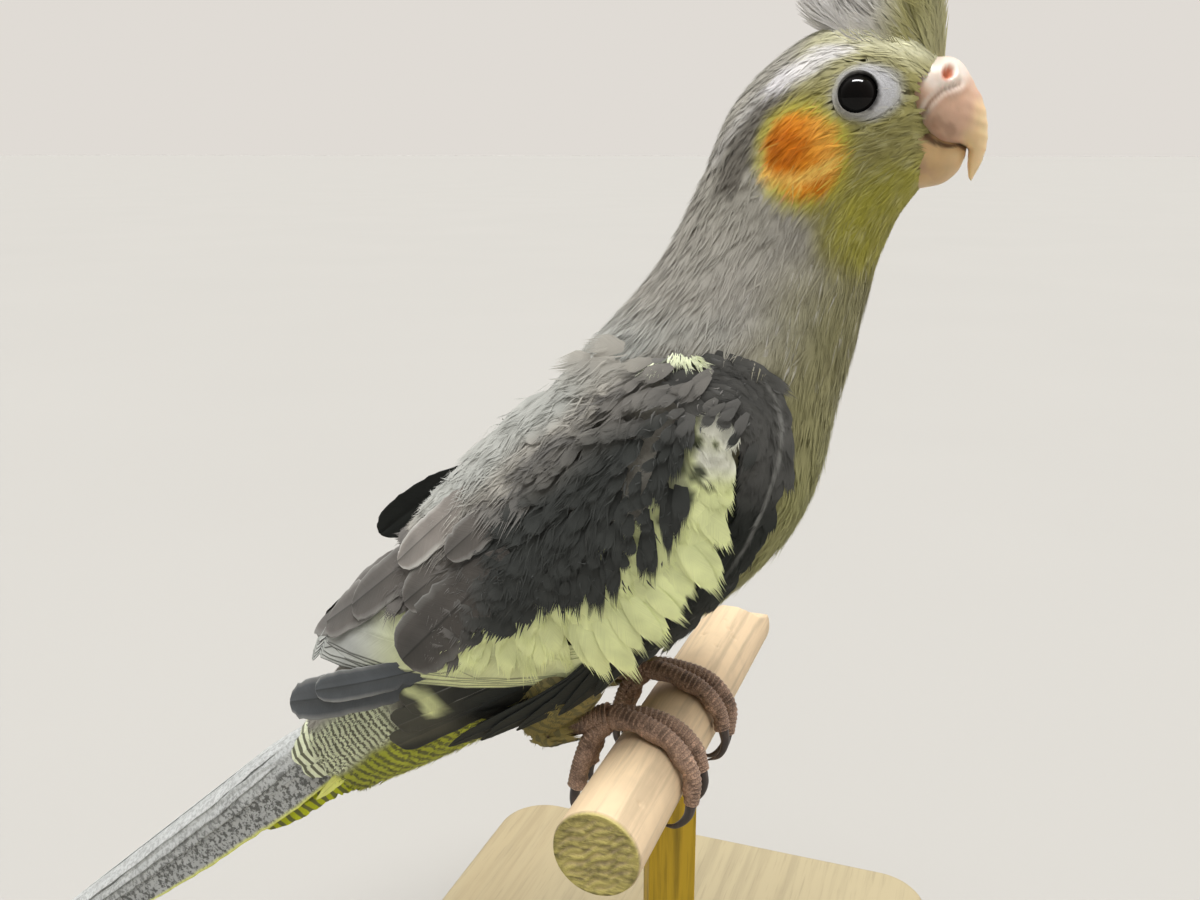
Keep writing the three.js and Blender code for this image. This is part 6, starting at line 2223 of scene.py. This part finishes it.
DIM_WALL = (0.56, 0.55, 0.53)
BRIGHT_WALL = (0.878, 0.859, 0.835)
FLOOR_HALF = 60.0
KEY_POWER, KEY_ANGLE = 3.8, math.radians(45)
GLINT_POWER, GLINT_SIZE = 16.0, (0.55, 0.14)
CAMERA_PLACE = (0.058, -0.1965, 0.2192)
CAMERA_LENS, CAMERA_SENSOR = 33.9, 36.0
CAMERA_YAW, CAMERA_DOWN = math.radians(20), math.radians(14.8)


class COCKATIEL_OT_stage(bpy.types.Operator):
    """Pale floor, soft studio light and a camera at the photograph's angle"""

    bl_idname = "cockatiel.stage"
    bl_label = "Studio"

    def execute(self, context):
        scene = context.scene
        bm = bmesh.new()
        bmesh.ops.create_grid(bm, x_segments=1, y_segments=1, size=FLOOR_HALF)
        bmesh.ops.translate(bm, vec=(0, 0, -0.0002), verts=bm.verts)
        floor = finished("studio_floor", bm)
        material, n = new_material("floor_paper", scene.stand.floor, 0.9, specular=0.1)
        n.colour(n.blend(scene.stand.floor, shade(scene.stand.floor, 1.02), n.noise(n.place(), 3.0)))
        floor.data.materials.append(material)
        # the studio is bright behind the bird and dim behind the camera
        world = bpy.data.worlds.new("Studio")
        world.use_nodes = True
        n = Nodes(world.node_tree)
        split = n.add("ShaderNodeSeparateXYZ")
        n.set(split.inputs[0], n.add("ShaderNodeTexCoord").outputs["Generated"])
        sky = world.node_tree.nodes["Background"]
        n.set(sky.inputs["Color"], n.blend(DIM_WALL, BRIGHT_WALL, n.ramp(split.outputs["Y"], -0.5, 0.5)))
        scene.world = world
        key = self.light("Key", "SUN", (0.12, -0.16, 0.98), KEY_POWER)
        key.data.angle = KEY_ANGLE
        key.visible_glossy = False
        glint = self.light("Glint", "AREA", (0.0, 0.0, 1.10), GLINT_POWER)
        glint.data.shape = "RECTANGLE"
        glint.data.size, glint.data.size_y = GLINT_SIZE
        glint.visible_diffuse = False
        scene.view_settings.view_transform = "Standard"
        camera = bpy.data.objects.new("Camera", bpy.data.cameras.new("Camera"))
        scene.collection.objects.link(camera)
        camera.data.lens = CAMERA_LENS
        camera.data.sensor_width = CAMERA_SENSOR
        camera.data.sensor_fit = "HORIZONTAL"
        camera.data.clip_start = 0.01
        camera.data.clip_end = 200.0
        camera.location = CAMERA_PLACE
        level = math.cos(CAMERA_DOWN)
        ahead = Vector((-math.sin(CAMERA_YAW) * level, math.cos(CAMERA_YAW) * level, -math.sin(CAMERA_DOWN)))
        camera.rotation_euler = ahead.to_track_quat("-Z", "Y").to_euler()
        scene.camera = camera
        return {"FINISHED"}

    def light(self, name, kind, place, power):
        """A lamp overhead that points at the middle of the stand."""
        lamp = bpy.data.lights.new(name, kind)
        lamp.energy = power
        holder = bpy.data.objects.new(name, lamp)
        bpy.context.scene.collection.objects.link(holder)
        holder.location = place
        holder.rotation_euler = (-Vector(place)).to_track_quat("-Z", "Y").to_euler()
        return holder


class COCKATIEL_PT_parts(bpy.types.Panel):
    """The cockatiel's pieces, in the order in which they are built"""

    bl_idname = "COCKATIEL_PT_parts"
    bl_label = "Cockatiel"
    bl_space_type = "VIEW_3D"
    bl_region_type = "UI"
    bl_category = "Cockatiel"

    def draw(self, context):
        for operator in OPERATORS:
            self.layout.operator(operator.bl_idname)


OPERATORS = [
    COCKATIEL_OT_skin, COCKATIEL_OT_body_coat, COCKATIEL_OT_head_coat, COCKATIEL_OT_wings, COCKATIEL_OT_tail,
    COCKATIEL_OT_crest, COCKATIEL_OT_eyes, COCKATIEL_OT_bill, COCKATIEL_OT_legs, COCKATIEL_OT_feet, COCKATIEL_OT_stand,
    COCKATIEL_OT_stage,
]
SETTINGS = {"plumage": PlumageSettings, "bare": BareSettings, "stand": StandSettings}


def register():
    for name, group in SETTINGS.items():
        bpy.utils.register_class(group)
        setattr(bpy.types.Scene, name, PointerProperty(type=group))
    for kind in (*OPERATORS, COCKATIEL_PT_parts):
        bpy.utils.register_class(kind)


def unregister():
    for kind in (COCKATIEL_PT_parts, *reversed(OPERATORS)):
        bpy.utils.unregister_class(kind)
    for name, group in SETTINGS.items():
        delattr(bpy.types.Scene, name)
        bpy.utils.unregister_class(group)


def main():
    register()
    for operator in OPERATORS:
        getattr(bpy.ops.cockatiel, operator.bl_idname.split(".")[1])()


if __name__ == "__main__":
    main()
